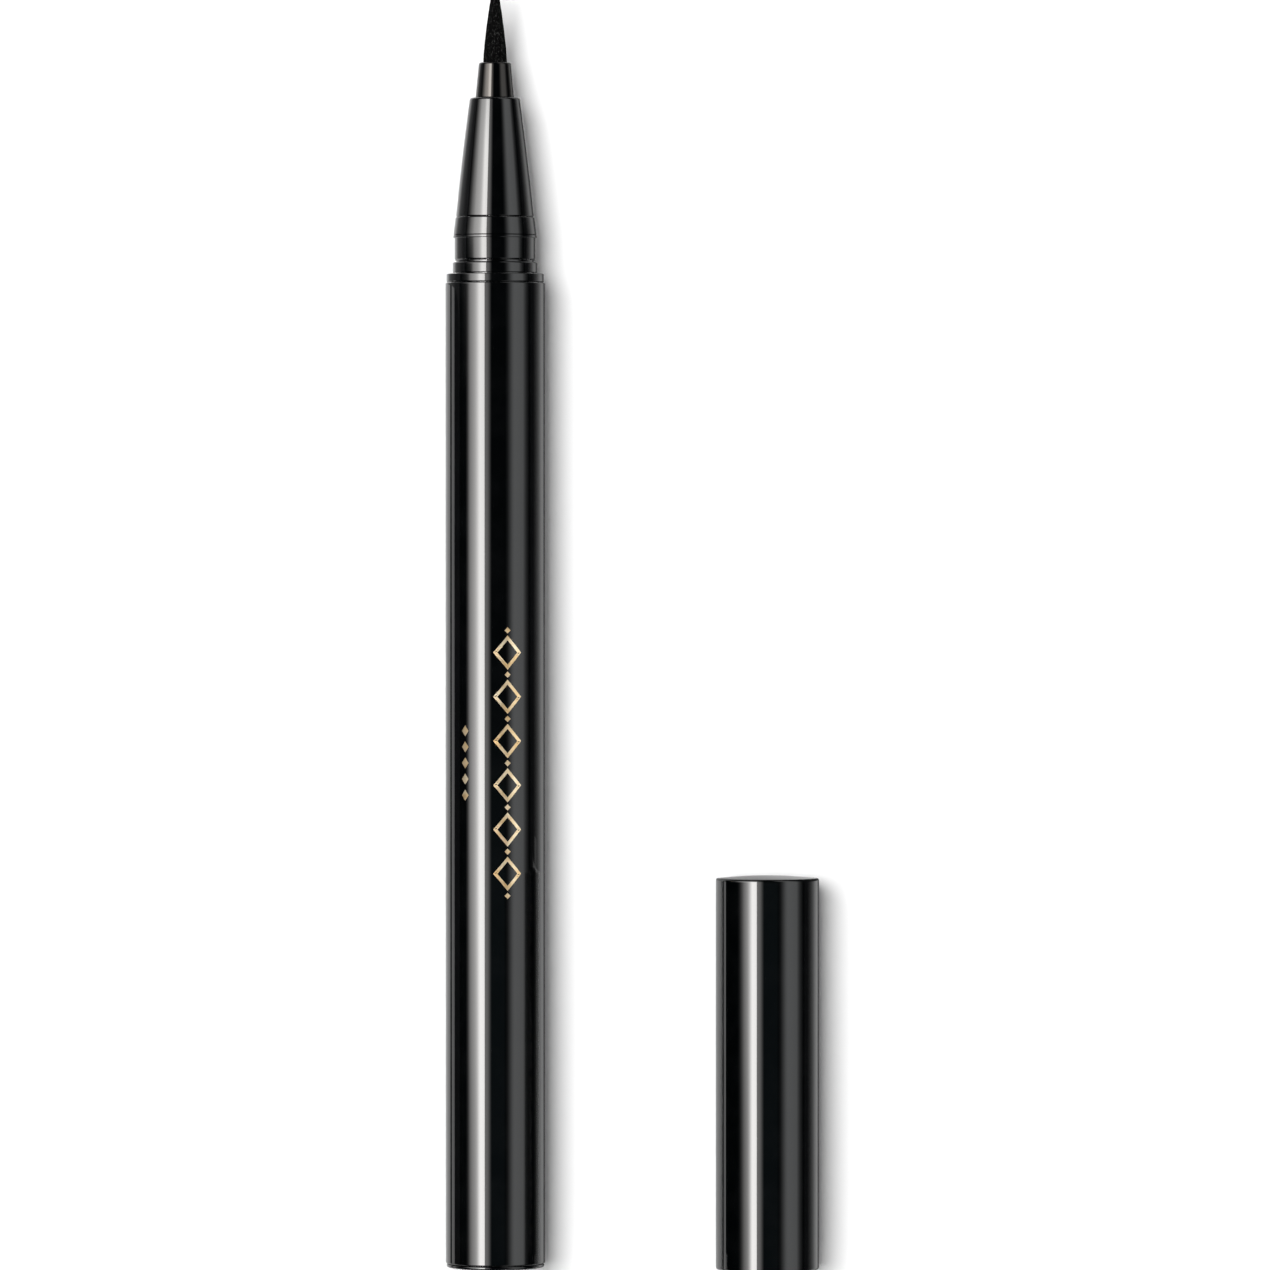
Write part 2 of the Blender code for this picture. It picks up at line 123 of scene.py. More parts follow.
length = setting(FloatProperty, min=0.0, precision=5, unit="LENGTH")
angle = setting(FloatProperty, unit="ROTATION")
share = setting(FloatProperty, min=0.0, max=1.0, subtype="FACTOR")
brightness = setting(FloatProperty, min=0.0)
power = setting(FloatProperty, min=1.0)
count = setting(IntProperty, min=1)
colour = setting(FloatVectorProperty, size=3, min=0.0, max=1.0, subtype="COLOR")


class GapSizes(PropertyGroup):
    press: length("Press", "Gap between two pieces pressed together", 0.00003)
    face: length("Face", "Gap between two faces that meet", 0.00003)
    slide: length("Slide", "Gap round a piece that slides", 0.00006)
    tank: length("Tank", "Gap between the ink tank and the barrel", 0.00008)
    cap: length("Cap", "Gap between the cap's mouth and the snap bead", 0.000085)


class BarrelSizes(PropertyGroup):
    sides: count("Sides", "Sides of every polished turned piece", 176)
    radius: length("Radius", "Outer radius of the barrel", 0.005)
    wall: length("Wall", "Wall of the barrel", 0.0006)
    rounding: length("Rounding", "Rounding of the barrel's two edges", 0.00013)
    rim_length: length("Rim length", "Length of the tail plug's rim", 0.00037)
    rim_step: length("Rim step", "How far the rim lies inside the barrel's side", 0.00008)
    rim_rounding: length("Rim rounding", "Rounding of the rim's edge", 0.0002)
    floor: length("Floor", "Thickness of the tail plug's floor past its rim", 0.0008)
    plug_wall: length("Plug wall", "Wall of the tail plug's cup", 0.0008)


class NeckSizes(PropertyGroup):
    coupling_depth: length("Coupling depth", "Length of the coupling inside the barrel", 0.0075)
    collar_length: length("Collar length", "Length of the collar", 0.00085)
    collar_step: length("Collar step", "How far the collar lies inside the barrel's side", 0.00011)
    collar_rounding: length("Collar rounding", "Rounding of the collar's edge", 0.00009)
    groove_depth: length("Groove depth", "Depth of the grooves beside the bead", 0.00014)
    groove_length: length("Groove length", "Length of the groove behind the bead", 0.00009)
    bead_length: length("Bead length", "Length of the snap bead", 0.00108)
    lip_groove: length("Lip groove", "Length of the groove between the bead and the lip", 0.00015)
    bead_height: length("Bead height", "How far the bead stands out of the neck", 0.000195)
    bead_rounding: length("Bead rounding", "Rounding of the bead's front edge", 0.00022)
    bead_back_rounding: length("Bead back rounding", "Rounding of the bead's back edge", 0.00008)
    lip_length: length("Lip length", "Length of the lip in front of the bead", 0.00007)
    neck_wall: length("Neck wall", "Wall of the neck round the spigot's bore", 0.001175)
    neck_length: length("Neck length", "Length of the recessed neck", 0.00215)
    spigot: length("Spigot", "Length of the front ring's spigot", 0.005)
    spigot_wall: length("Spigot wall", "Wall of the front ring's spigot", 0.0004)
    flare_length: length("Flare length", "Length of the flare", 0.00209)
    flare_height: length("Flare height", "How far the flare stands out of the neck", 0.00016)
    flare_rounding: length("Flare rounding", "Rounding of the flare's edge", 0.00016)
    flare_step: length("Flare step", "Step between the flare and the cone", 0.00004)
    band_length: length("Band length", "Length of the band at the flare's edge", 0.00025)
    score_depth: length("Score depth", "Depth of the fine line round the flare", 0.00007)
    score_length: length("Score length", "Width of the fine line round the flare", 0.0001)
    seam: length("Seam", "Rounding of the edges along a seam", 0.00011)


class FrontSizes(PropertyGroup):
    foot_inset: length("Foot inset", "How far the cone's foot lies inside the neck", 0.00014)
    bow: length("Bow", "How far the cone's side bows out at mid length", 0.00006)
    ledge: length("Ledge", "Width of the cone's end round the tip holder", 0.00056)
    top_rounding: length("Top rounding", "Rounding of the cone's front edge", 0.00025)
    spigot: length("Spigot", "Length of the cone's spigot", 0.006)
    spigot_wall: length("Spigot wall", "Wall of the cone's spigot", 0.0005)
    steps: count("Steps", "Steps along the cone's bowed side", 24)
    holder_shank: length("Holder shank", "Length of the tip holder inside the cone", 0.008)
    holder_wall: length("Holder wall", "Wall of the tip holder's shank", 0.00067)
    holder_shoulder: length("Holder shoulder", "Step in front of the shank", 0.000065)
    lip_wall: length("Lip wall", "Wall of the tip holder's front end", 0.000385)
    lip_rounding: length("Lip rounding", "Rounding of the tip holder's front edge", 0.00018)


class FeltSizes(PropertyGroup):
    sides: count("Sides", "Sides of the felt tip", 128)
    steps: count("Steps", "Steps along the felt in front of the holder", 150)
    radius: length("Radius", "Radius of the felt in the holder", 0.001205)
    shank: length("Shank", "Length of the felt inside the holder", 0.008)
    point_radius: length("Point radius", "Radius of the felt's point", 0.0001)
    ogive_power: power("Ogive power", "How full the felt's taper is: 1 is a straight cone", 1.41)
    nap: length("Nap", "How far the felt's surface rises and falls", 0.000014)
    nap_length: length("Nap length", "Length of a rise along the felt", 0.0011)
    nap_width: length("Nap width", "Width of a rise round the felt", 0.00022)


class InkSizes(PropertyGroup):
    sides: count("Sides", "Sides of the pieces inside the barrel", 96)
    tank_wall: length("Tank wall", "Wall of the ink tank", 0.0005)
    flange: length("Flange", "Thickness of the stopper's flange", 0.0006)
    stopper_wall: length("Stopper wall", "Wall of the stopper's cup", 0.0008)
    relay_radius: length("Relay radius", "Radius of the relay core", 0.001)
    core_wall: length("Core wall", "Wall of the comb collector's core", 0.001)
    disc: length("Disc", "Thickness of the comb collector's two discs", 0.0012)
    fins: count("Fins", "Number of the comb collector's fins", 15)
    fin_thickness: length("Fin thickness", "Thickness of a fin", 0.00055)
    fin_gap: length("Fin gap", "Gap between a fin and the tank", 0.0003)
    ball_radius: length("Ball radius", "Radius of the mixing ball", 0.0015)
    ball_rings: count("Ball rings", "Rings of the mixing ball", 32)


class CapSizes(PropertyGroup):
    bore_step: length("Bore step", "How much wider the bore is past the mouth", 0.0002)
    wall: length("Wall", "Wall of the cap round its bore", 0.000645)
    mouth_rounding: length("Mouth rounding", "Rounding of the mouth's outer edge", 0.00025)
    mouth_chamfer: length("Mouth chamfer", "Rounding of the mouth's inner edge", 0.00015)
    end_rounding: length("End rounding", "Rounding of the closed end's edge", 0.0003)
    rib_height: length("Rib height", "How far the snap rib stands into the mouth", 0.00022)
    rib_length: length("Rib length", "Length of the snap rib", 0.0009)
    rib_place: length("Rib place", "From the mouth to the middle of the snap rib", 0.002465)
    rib_rounding: length("Rib rounding", "Rounding of the snap rib", 0.00015)
    guide_place: length("Guide place", "From the mouth to the inner cap's guide", 0.0101)
    crown_plate: length("Crown plate", "Thickness of the crown at its edge", 0.0011)
    crown_ledge: length("Crown ledge", "Width of the ledge under the crown", 0.0001)
    crown_rise: length("Crown rise", "How far the crown's dome rises", 0.00022)
    crown_spigot: length("Crown spigot", "Length of the crown's spigot", 0.003)
    crown_spigot_wall: length("Crown spigot wall", "Wall of the crown's spigot", 0.0005)
    dome_steps: count("Dome steps", "Steps from the crown's edge to its middle", 24)


class InnerCapSizes(PropertyGroup):
    radius: length("Radius", "Outer radius of the inner cap", 0.0038995)
    wall: length("Wall", "Wall of the inner cap", 0.0007)
    end: length("End", "Thickness of the inner cap's closed end", 0.0009)
    flange: length("Flange", "Thickness of the inner cap's flange", 0.001)
    rounding: length("Rounding", "Rounding of the inner cap's edges", 0.0002)
    spring_radius: length("Spring radius", "Radius of the coil's middle line", 0.0026)
    wire_radius: length("Wire radius", "Radius of the spring's wire", 0.0002)
    spring_turns: count("Spring turns", "Turns of the spring", 6)
    turn_points: count("Turn points", "Points along one turn of the spring", 40)
    wire_sides: count("Wire sides", "Sides of the spring's wire", 14)


class FoilSizes(PropertyGroup):
    thickness: length("Thickness", "How far the foil stands out of the barrel", 0.000005)
    depth: length("Depth", "How far the foil's underside lies in the lacquer", 0.000003)
    middle: length("Middle", "From the tail to the middle of the ornament", 0.0505)
    turn: angle("Turn", "Turn of the chain from the barrel's top towards the cap", radians(15.2))
    links: count("Links", "Lozenges in the chain", 6)
    pitch: length("Pitch", "From one lozenge to the next", 0.0044)
    link_length: length("Link length", "Length of a lozenge along the barrel", 0.0034)
    link_width: length("Link width", "Width of a lozenge round the barrel", 0.0029)
    stroke: length("Stroke", "Width of a lozenge's line", 0.00042)
    bead: length("Bead", "Width of the small lozenges between the large ones", 0.00062)
    row_turn: angle("Row turn", "Turn of the small row from the barrel's top", radians(-36))
    row_links: count("Row links", "Small lozenges in the row beside the chain", 5)
    row_pitch: length("Row pitch", "From one small lozenge to the next", 0.0016)
    row_width: length("Row width", "Width of a small lozenge of the row", 0.0008)
    row_length: length("Row length", "Length of a small lozenge of the row", 0.0011)
    cuts: count("Cuts", "Cuts along one side of a lozenge", 8)


class Finishes(PropertyGroup):
    black: colour("Black", "Colour of the polished black plastic", (0.0006, 0.0009, 0.0011))
    black_worn: colour("Worn black", "Colour where the polish is handled", (0.0024, 0.0027, 0.003))
    black_roughness: share("Polish", "Roughness of the polished plastic", 0.035)
    handled_roughness: share("Handled", "Roughness where the polish is handled", 0.085)
    holder_tint: colour("Holder tint", "Tint of the tip holder's softer gloss", (1.0, 0.94, 0.88))
    felt: colour("Felt", "Colour of the inked felt", (0.0014, 0.0014, 0.0014))
    felt_light: colour("Felt fibre", "Colour of the lighter fibres", (0.036, 0.036, 0.035))
    foil: colour("Foil", "Colour of the gold foil", (0.80, 0.56, 0.28))
    foil_pale: colour("Pale foil", "Colour of the foil's pale streaks", (1.0, 0.86, 0.62))
    # The small row's gold is darkened by this share: painted shade that dims the key panel's reflection on
    # it
    shaded_foil: share("Thin foil", "How much light the small row's thinner foil gives back", 0.24)
    natural: colour("Natural plastic", "Colour of the milky plastic", (0.72, 0.73, 0.70))
    white: colour("White plastic", "Colour of the comb collector", (0.80, 0.80, 0.77))
    fibre: colour("Fibre", "Colour of the inked fibre rod", (0.035, 0.035, 0.04))
    steel: colour("Steel", "Colour of the steel wire and ball", (0.56, 0.56, 0.57))


class StageSettings(PropertyGroup):
    floor: colour("Floor", "Colour of the floor", (0.8, 0.8, 0.8))
    card: colour("Card", "Colour of the dark cards beside the object", (0.045, 0.045, 0.048))
    backdrop: colour("Backdrop", "Colour of the floor and the room where they are seen", (1.0, 1.0, 1.0))
    light_distance: length("Light distance", "From the object to each light", 2.5)
    lamp: brightness("Lamp", "Brightness of the soft lamp that casts the shadow", 12.5)
    key: brightness("Key", "Brightness of the key panel's brightest part", 21.8)
    key_tint: colour("Key tint", "Colour of the key panel's light", (1.0, 0.985, 0.97))
    side: brightness("Side", "Brightness of the panel on the cap's side", 1.95)
    side_tint: colour("Side tint", "Colour of the side panel's light", (0.97, 0.99, 1.0))
    dim: brightness("Dim", "Brightness of the dim panel overhead, behind the pen's middle", 0.075)
    dim_tint: colour("Dim tint", "Colour of the dim panel's light", (0.62, 0.9, 1.0))
    room: brightness("Room", "Brightness of the room round the stage", 0.32)
    dark_room: brightness("Dark room", "Brightness of the room in the polish", 0.012)
    room_ends: brightness("Room ends", "Brightness in the polish of the room's four corners", 2.0)
    camera_height: length("Camera height", "From the pen's axis up to the camera", 0.9)
    view_width: length("View width", "Width of the picture at the pen's axis", 0.12688)


# The panels' brightness over the angle from straight up, in degrees and in shares of the brightest
KEY_SHARES = (
    (8, 0.0), (10.5, 0.02), (13, 0.055), (15.5, 0.095), (18, 0.13), (23.3, 0.155), (24.6, 0.92),
    (29, 0.96), (33, 1.0), (36, 0.9), (38.5, 0.7), (41, 0.51), (43.5, 0.38), (46, 0.32), (48.4, 0.27),
    (53.6, 0.2), (58.8, 0.12), (62, 0.06), (64.5, 0.023), (67, 0.008), (69.5, 0.002), (71.5, 0.0),
)
SHOULDER_SHARES = (
    (33, 0.0), (36, 0.06), (38.5, 0.13), (41, 0.18), (43.5, 0.19), (46, 0.16), (48.4, 0.14),
    (53.6, 0.11), (58.8, 0.1), (62, 0.085), (64.5, 0.042), (67, 0.017), (69.5, 0.005), (71.5, 0.0),
)
FRONT_KEY_SHARES = (
    (42, 0.0), (48, 0.06), (53, 0.1), (58, 0.13), (63.5, 0.17), (67.8, 0.17), (72.4, 0.125), (77, 0.065),
    (81.8, 0.025), (86.8, 0.005), (89, 0.0),
)
SIDE_SHARES = (
    (24, 0.0), (29, 0.07), (33, 0.25), (37, 0.5), (41, 0.79), (45, 0.96), (48, 1.0), (58, 0.94),
    (68, 0.82), (71, 0.56), (74, 0.36), (78, 0.16), (84, 0.03), (88, 0.0),
)
DIM_SHARES = ((-20, 0.0), (-10, 1.0), (20, 1.0), (26, 0.0))

# The panels' brightness along Y, in shares of the brightest
KEY_ENDS = (
    (-0.62, 1.0), (-0.13, 1.0), (-0.02, 0.94), (0.06, 0.88), (0.14, 0.86), (0.4, 0.9), (0.74, 0.9),
    (0.86, 0.68), (1.1, 0.6),
)
SHOULDER_ENDS = ((-0.258, 0.0), (-0.209, 0.2), (-0.152, 0.63), (-0.09, 0.9), *KEY_ENDS[2:])
FRONT_KEY_ENDS = (
    (0.06, 0.0), (0.108, 0.08), (0.127, 0.75), (0.137, 0.45), (0.2, 0.6), (0.35, 1.0), (1.1, 1.0),
)
SIDE_ENDS = ((-0.62, 1.0), (1.1, 1.0))
DIM_ENDS = ((-0.62, 0.7), (-0.27, 0.75), (-0.12, 1.0), (-0.02, 0.0))

# Each panel's name, light, side of X, shares, ends, and distance as a share of the lights' distance
PANELS = (
    ("key", "key", -1, KEY_SHARES, KEY_ENDS, 1.0),
    ("shoulder", "key", -1, SHOULDER_SHARES, SHOULDER_ENDS, SHOULDER_NEARNESS),
    ("front_key", "key", -1, FRONT_KEY_SHARES, FRONT_KEY_ENDS, 1.0),
    ("side", "side", 1, SIDE_SHARES, SIDE_ENDS, 1.0),
    ("dim", "dim", 1, DIM_SHARES, DIM_ENDS, 1.0),
)

# Where the room's corners glow in the polish, as (place, share) stops along each axis of a direction
CORNER_STOPS = {
    "X": ((0.12, 0.0), (0.35, 1.0)),
    "Y": ((0.42, 0.0), (0.62, 1.0)),
    "Z": ((0.2, 0.0), (0.38, 1.0), (0.56, 1.0), (0.74, 0.0)),
}

# How much of the floor is hidden in the polish, over the distance from the pen's or the cap's axis
RIM_SHARES = (
    (0.0055, 0.9), (0.0075, 0.85), (0.0087, 0.42), (0.0100, 0.06), (0.0125, 0.1), (0.0160, 0.42),
    (0.0190, 0.6), (0.0215, 0.69), (0.0230, 0.75), (0.0290, 0.86), (0.0328, 0.9), (0.0380, 0.95),
    (0.0500, 1.0), (REACH, 1.0),
)
CROWN_SHARES = ((-0.0056, 0.66), (0, 0.55), (0.0056, 0.4))
FRONT_SHARES = (
    (0.0085, 0.0), (0.0095, 0.25), (0.0105, 0.5), (0.0127, 0.66), (0.0180, 0.74), (0.0250, 0.84),
    (0.0400, 0.92), (REACH, 0.95),
)

# The rim's points up to the near side of the cap's crown, and up to its far side
RIM_NEAR_POINTS = 8
RIM_CROWN_POINTS = 11

# How much of the floor is hidden in the polish, over X
LEFT_CARD = ((-0.041, 1), (-REACH, 1))
LEFT_LINE = ((-0.0274, 1), (-0.0306, 1))
BETWEEN_SHARES = (
    (-0.0082, 0.9), (-0.0062, 0.85), (-0.0050, 0.42), (-0.0037, 0.04), (0.0, 0.06), (0.002, 0.12),
    (0.007, 0.25),
)

# The brightness of the upright cards of light, over the height, as the pen and the cap see them
PEN_SIDE_SHARES = (
    (0.012, 0.0), (0.0064, 0.0), (0.0054, 0.03), (0.0046, 0.08), (0.0037, 0.17), (0.0027, 0.27),
    (0.0016, 0.43), (0.0008, 0.56), (0.0, 0.6),
)
CAP_SIDE_SHARES = (
    (0.0, 0.5), (0.0014, 0.5), (0.0021, 0.1), (0.0026, 0.0), (0.0034, 0.0), (0.0039, 0.9),
    (0.0050, 0.9), (0.0055, 0.0), (0.012, 0.0),
)

# How much the upright card above those of light hides from the cap, over the height
CAP_SHADE_SHARES = (
    (0.012, 0.75), (0.0149, 0.74), (0.0157, 0.7), (0.0165, 0.62), (0.0173, 0.5), (0.0181, 0.42),
    (0.019, 0.37), (0.02, 0.33), (0.021, 0.3), (0.0221, 0.22), (0.0233, 0.16), (0.0246, 0.11),
    (0.026, 0.05), (0.028, 0.0),
)


def sizes(group):
    """One of the eyeliner's property groups."""
    return getattr(bpy.context.scene, "eyeliner_" + group)


# Places


def length_of(node):
    low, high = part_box(node)
    return high.y - low.y


def seat(node, body):
    """The point on a body's axis at a node's end nearest to -Y."""
    low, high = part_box(AXES[body])
    return Vector(((low.x + high.x) / 2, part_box(node)[0].y, (low.z + high.z) / 2))


# Radii that several pieces share


def holder_bore():
    return sizes("felt").radius + sizes("gaps").press


def cone_bore():
    return holder_bore() + sizes("front").holder_wall + sizes("gaps").press


def ring_bore():
    return cone_bore() + sizes("front").spigot_wall + sizes("gaps").press


def coupling_bore():
    return ring_bore() + sizes("neck").spigot_wall + sizes("gaps").press


def neck_radius():
    return coupling_bore() + sizes("neck").neck_wall


def cap_bore():
    bead = neck_radius() + sizes("neck").bead_height
    return bead + sizes("gaps").cap + sizes("cap").bore_step


def tank_radius():
    return sizes("barrel").radius - sizes("barrel").wall - sizes("gaps").tank


def tank_bore():
    return tank_radius() - sizes("ink").tank_wall


# Meshes


def held(start, end):
    """A point beside an arc's end, which keeps the side beyond it straight where it is shaded smooth."""
    side = end - start
    return start + side.normalized() * min(HOLD, side.length / 4)


def rounded_corner(before, corner, after, rounding):
    """The arc that replaces a corner, never longer than half a side, with a held point at each end."""
    back = before - corner
    on = after - corner
    half_angle = back.angle(on) / 2
    reach = min(rounding / tan(half_angle), back.length / 2, on.length / 2)
    radius = reach * tan(half_angle)
    start = corner + back.normalized() * reach
    end = corner + on.normalized() * reach
    middle = corner + (back.normalized() + on.normalized()).normalized() * radius / sin(half_angle)
    arc = []
    for step in range(ROUNDING_STEPS + 1):
        chord = start.lerp(end, step / ROUNDING_STEPS) - middle
        arc.append(middle + chord.normalized() * radius)
    return [held(arc[0], before), *arc, held(arc[-1], after)]


def round_outline(outline, closed):
    """The outline's points, with an arc at each corner that gives a third value, its rounding."""
    corners = [Vector(point[:2]) for point in outline]
    points = []
    for index, point in enumerate(outline):
        inner = closed or 0 < index < len(outline) - 1
        if len(point) == 3 and inner:
            after = corners[(index + 1) % len(corners)]
            points += rounded_corner(corners[index - 1], corners[index], after, point[2])
        else:
            points.append(corners[index])
    return points


def mesh_of(name, shape):
    """The mesh of a bmesh, which is freed."""
    mesh = bpy.data.meshes.new(name)
    shape.to_mesh(mesh)
    shape.free()
    return mesh


def smooth(mesh):
    mesh.shade_smooth()
    mesh.set_sharp_from_angle(angle=SMOOTH_ANGLE)


def turned_mesh(name, outline, sides):
    """A mesh turned from an outline of (radius, height) points, or (radius, height, rounding)."""
    closed = outline[0][0] > 0
    shape = bmesh.new()
    points = round_outline(outline, closed)
    verts = [shape.verts.new((point.x * FIT, 0, point.y)) for point in points]
    pairs = list(zip(verts, verts[1:]))
    if closed:
        pairs.append((verts[-1], verts[0]))
    edges = [shape.edges.new(pair) for pair in pairs]
    bmesh.ops.spin(
        shape,
        geom=verts + edges,
        cent=(0, 0, 0),
        axis=(0, 0, 1),
        angle=2 * pi,
        steps=sides,
        use_merge=True,
    )
    bmesh.ops.remove_doubles(shape, verts=shape.verts, dist=MERGE_DISTANCE)
    bmesh.ops.recalc_face_normals(shape, faces=shape.faces)
    mesh = mesh_of(name, shape)
    smooth(mesh)
    return mesh


def tube(outer, bore, reach, rounding=0.0):
    """Outline of a plain tube whose outer edges are rounded."""
    return [(bore, 0), (outer, 0, rounding), (outer, reach, rounding), (bore, reach)]


# Finishes


class Tree:
    """The nodes of a material or of the world."""

    def __init__(self, owner):
        owner.use_nodes = True
        self.nodes = owner.node_tree.nodes
        self.links = owner.node_tree.links

    def put(self, sockets, values):
        """Gives sockets their values. A node stands for its first output."""
        for name, value in values.items():
            if isinstance(value, Node):
                value = value.outputs[0]
            if isinstance(value, NodeSocket):
                self.links.new(value, sockets[name])
            else:
                sockets[name].default_value = value

    def add(self, kind, values=None, **settings):
        """A new node with its settings, and with the values of its inputs."""
        node = self.nodes.new("ShaderNode" + kind)
        for name, value in settings.items():
            setattr(node, name, value)
        self.put(node.inputs, values or {})
        return node

    def show(self, shader):
        self.add("OutputMaterial", {"Surface": shader})

    def math(self, operation, *values):
        return self.add("Math", dict(enumerate(values)), operation=operation)

    def ramp(self, factor, stops):
        """A colour over a factor, by (place, colour) stops."""
        node = self.add("ValToRGB", {"Fac": factor})
        elements = node.color_ramp.elements
        for _ in stops[2:]:
            elements.new(1.0)
        for element, (place, tone) in zip(elements, stops):
            element.position = place
            element.color = (*tone, 1)
        return node


class Finish(Tree):
    """A piece's material, with one Principled shader."""

    def __init__(self, name):
        self.material = bpy.data.materials.new(name)
        super().__init__(self.material)
        self.shader = self.nodes["Principled BSDF"].inputs
        self.place = self.add("TexCoord").outputs["Object"]
        self.look = sizes("finishes")

    def noise(self, scale, detail, rough=0.5, place=None):
        values = {"Scale": scale, "Detail": detail, "Roughness": rough, "Vector": place or self.place}
        return self.add("TexNoise", values)

    def fibres(self, scales, detail, rough=0.5):
        """Noise drawn out along the piece, by its scale along each axis."""
        stretched = self.add("Mapping", {"Scale": scales, "Vector": self.place}).outputs["Vector"]
        return self.noise(1.0, detail, rough, stretched)

    def between(self, factor, first, last, low, high):
        """A value that runs from low to high as a factor runs from first to last."""
        values = {"Value": factor, "From Min": first, "From Max": last, "To Min": low, "To Max": high}
        return self.add("MapRange", values)

    def bump(self, height, strength, distance, under=None):
        """A bumped normal, on top of another one if there is one."""
        values = {"Height": height, "Strength": strength, "Distance": distance}
        return self.add("Bump", values | ({"Normal": under} if under else {}))

    def finish(self, tones, roughness, normal, **values):
        """The finished material. Its tones are a factor and the (place, colour) stops over it."""
        self.put(self.shader, {"Base Color": self.ramp(*tones), "Roughness": roughness, "Normal": normal})
        self.put(self.shader, {name.replace("_", " "): value for name, value in values.items()})
        return self.material


def toned(tone, shade):
    """A colour made darker by a share."""
    return [value * tone for value in shade]


def polished_black(tree):
    """Black plastic polished to a mirror, with faint handling marks and hairline rubs."""
    look = tree.look
    marks = tree.noise(260, detail=5, rough=0.6)
    rubs = tree.fibres((9000, 9000, 260), detail=2)
    handled = tree.between(marks, 0.5, 0.85, look.black_roughness, look.handled_roughness)
    rubbed = tree.between(rubs, 0.74, 0.86, 0.0, look.handled_roughness)
    waves = tree.bump(tree.noise(110, detail=1), strength=0.05, distance=0.0001)
    return tree.finish(
        (marks, ((0.45, look.black), (0.8, look.black_worn))),
        tree.math("MAXIMUM", handled, rubbed),
        tree.bump(rubs, strength=0.01, distance=0.00001, under=waves),
        IOR=1.5,
    )


def holder_black(tree):
    """The tip holder's black plastic, whose gloss is softer and a little warm."""
    material = polished_black(tree)
    tree.put(tree.shader, {"IOR": HOLDER_IOR, "Specular Tint": (*tree.look.holder_tint, 1)})
    return material


def inked_felt(tree):
    """Bonded felt soaked with black ink: matt, with fibres along the tip."""
    fibres = tree.fibres((9000, 9000, 3200), detail=4, rough=0.6)
    clumps = tree.noise(5200, detail=3, rough=0.6)
    nap = tree.bump(clumps, strength=0.6, distance=0.00003)
    return tree.finish(
        (tree.math("MAXIMUM", fibres, clumps), ((0.57, tree.look.felt), (0.7, tree.look.felt_light))),
        tree.between(clumps, 0.3, 0.8, 0.85, 1.0),
        tree.bump(fibres, strength=0.7, distance=0.00002, under=nap),
        Specular_IOR_Level=0.02,
    )


def gold_foil(tree, tone=1.0):
    """Hot-stamped gold foil, brushed soft, with pale streaks."""
    # A tone under 1 darkens the whole foil, which paints shade on it, as on the small row
    gold, pale = toned(tone, tree.look.foil), toned(tone, tree.look.foil_pale)
    grain = tree.fibres((2000, 2000, 9000), detail=2)
    return tree.finish(
        (tree.noise(620, detail=3, rough=0.55), ((0.38, gold), (0.66, pale))),
        tree.between(grain, 0.3, 0.7, 0.36, 0.5),
        tree.bump(grain, strength=0.2, distance=0.00001),
        Metallic=1.0,
    )


def shaded_foil(tree):
    """The gold foil of the small row, made darker by a share: painted shade that dims the key panel's
    reflection on the row.
    """
    return gold_foil(tree, tree.look.shaded_foil)


def natural_plastic(tree):
    """Milky natural plastic, a little see-through, with a faint moulded grain."""
    natural = tree.look.natural
    grain = tree.noise(5200, detail=2)
    return tree.finish(
        (tree.noise(420, detail=4), ((0.3, toned(0.88, natural)), (0.7, natural))),
        tree.between(grain, 0.3, 0.7, 0.32, 0.48),
        tree.bump(grain, strength=0.12, distance=0.00001),
        Subsurface_Weight=0.35,
        Subsurface_Scale=0.001,
        IOR=1.49,
    )


def white_plastic(tree):
    """White moulded plastic, stained grey by the ink in places."""
    white = tree.look.white
    grain = tree.noise(3800, detail=2)
    return tree.finish(
        (tree.noise(300, detail=5, rough=0.6), ((0.55, white), (0.8, toned(0.55, white)))),
        tree.between(grain, 0.3, 0.7, 0.42, 0.6),
        tree.bump(grain, strength=0.1, distance=0.00001),
    )


def inked_fibre(tree):
    """A rod of bonded fibres, dark with ink."""
    fibre = tree.look.fibre
    fibres = tree.fibres((14000, 14000, 700), detail=4, rough=0.65)
    return tree.finish(
        (fibres, ((0.35, toned(0.4, fibre)), (0.7, fibre))),
        tree.between(fibres, 0.3, 0.7, 0.75, 0.95),
        tree.bump(fibres, strength=0.6, distance=0.00002),
    )


def bright_steel(tree):
    """Drawn stainless steel, with fine marks."""
    steel = tree.look.steel
    marks = tree.noise(2600, detail=5, rough=0.6)
    return tree.finish(
        (marks, ((0.3, toned(0.8, steel)), (0.7, steel))),
        tree.between(marks, 0.3, 0.7, 0.14, 0.28),
        tree.bump(marks, strength=0.08, distance=0.00001),
        Metallic=1.0,
    )


# Pieces


def add_object(name, data):
    thing = bpy.data.objects.new(name, data)
    bpy.context.scene.collection.objects.link(thing)
    return thing


def add_drawn(name, mesh, place, make, body):
    """Adds a mesh drawn along +Z, so that it lies along +Y and rides on a body."""
    piece = add_object(name, mesh)
    piece.location = place
    piece.rotation_euler = TURN
    finish = make.__name__
    mesh.materials.append(bpy.data.materials.get(finish) or make(Finish(finish)))
    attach(piece, body)
    return piece


def add_piece(name, mesh, place, make, node, body):
    """Adds a drawn mesh in the place of a node."""
    piece = add_drawn(name, mesh, place, make, body)
    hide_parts(node)
    return piece


def add_turned(name, node, body, outline, make=polished_black, sides=None):
    """Adds a piece turned from an outline about its body's axis."""
    mesh = turned_mesh(name, outline, sides or sizes("barrel").sides)
    add_piece(name, mesh, seat(node, body), make, node, body)


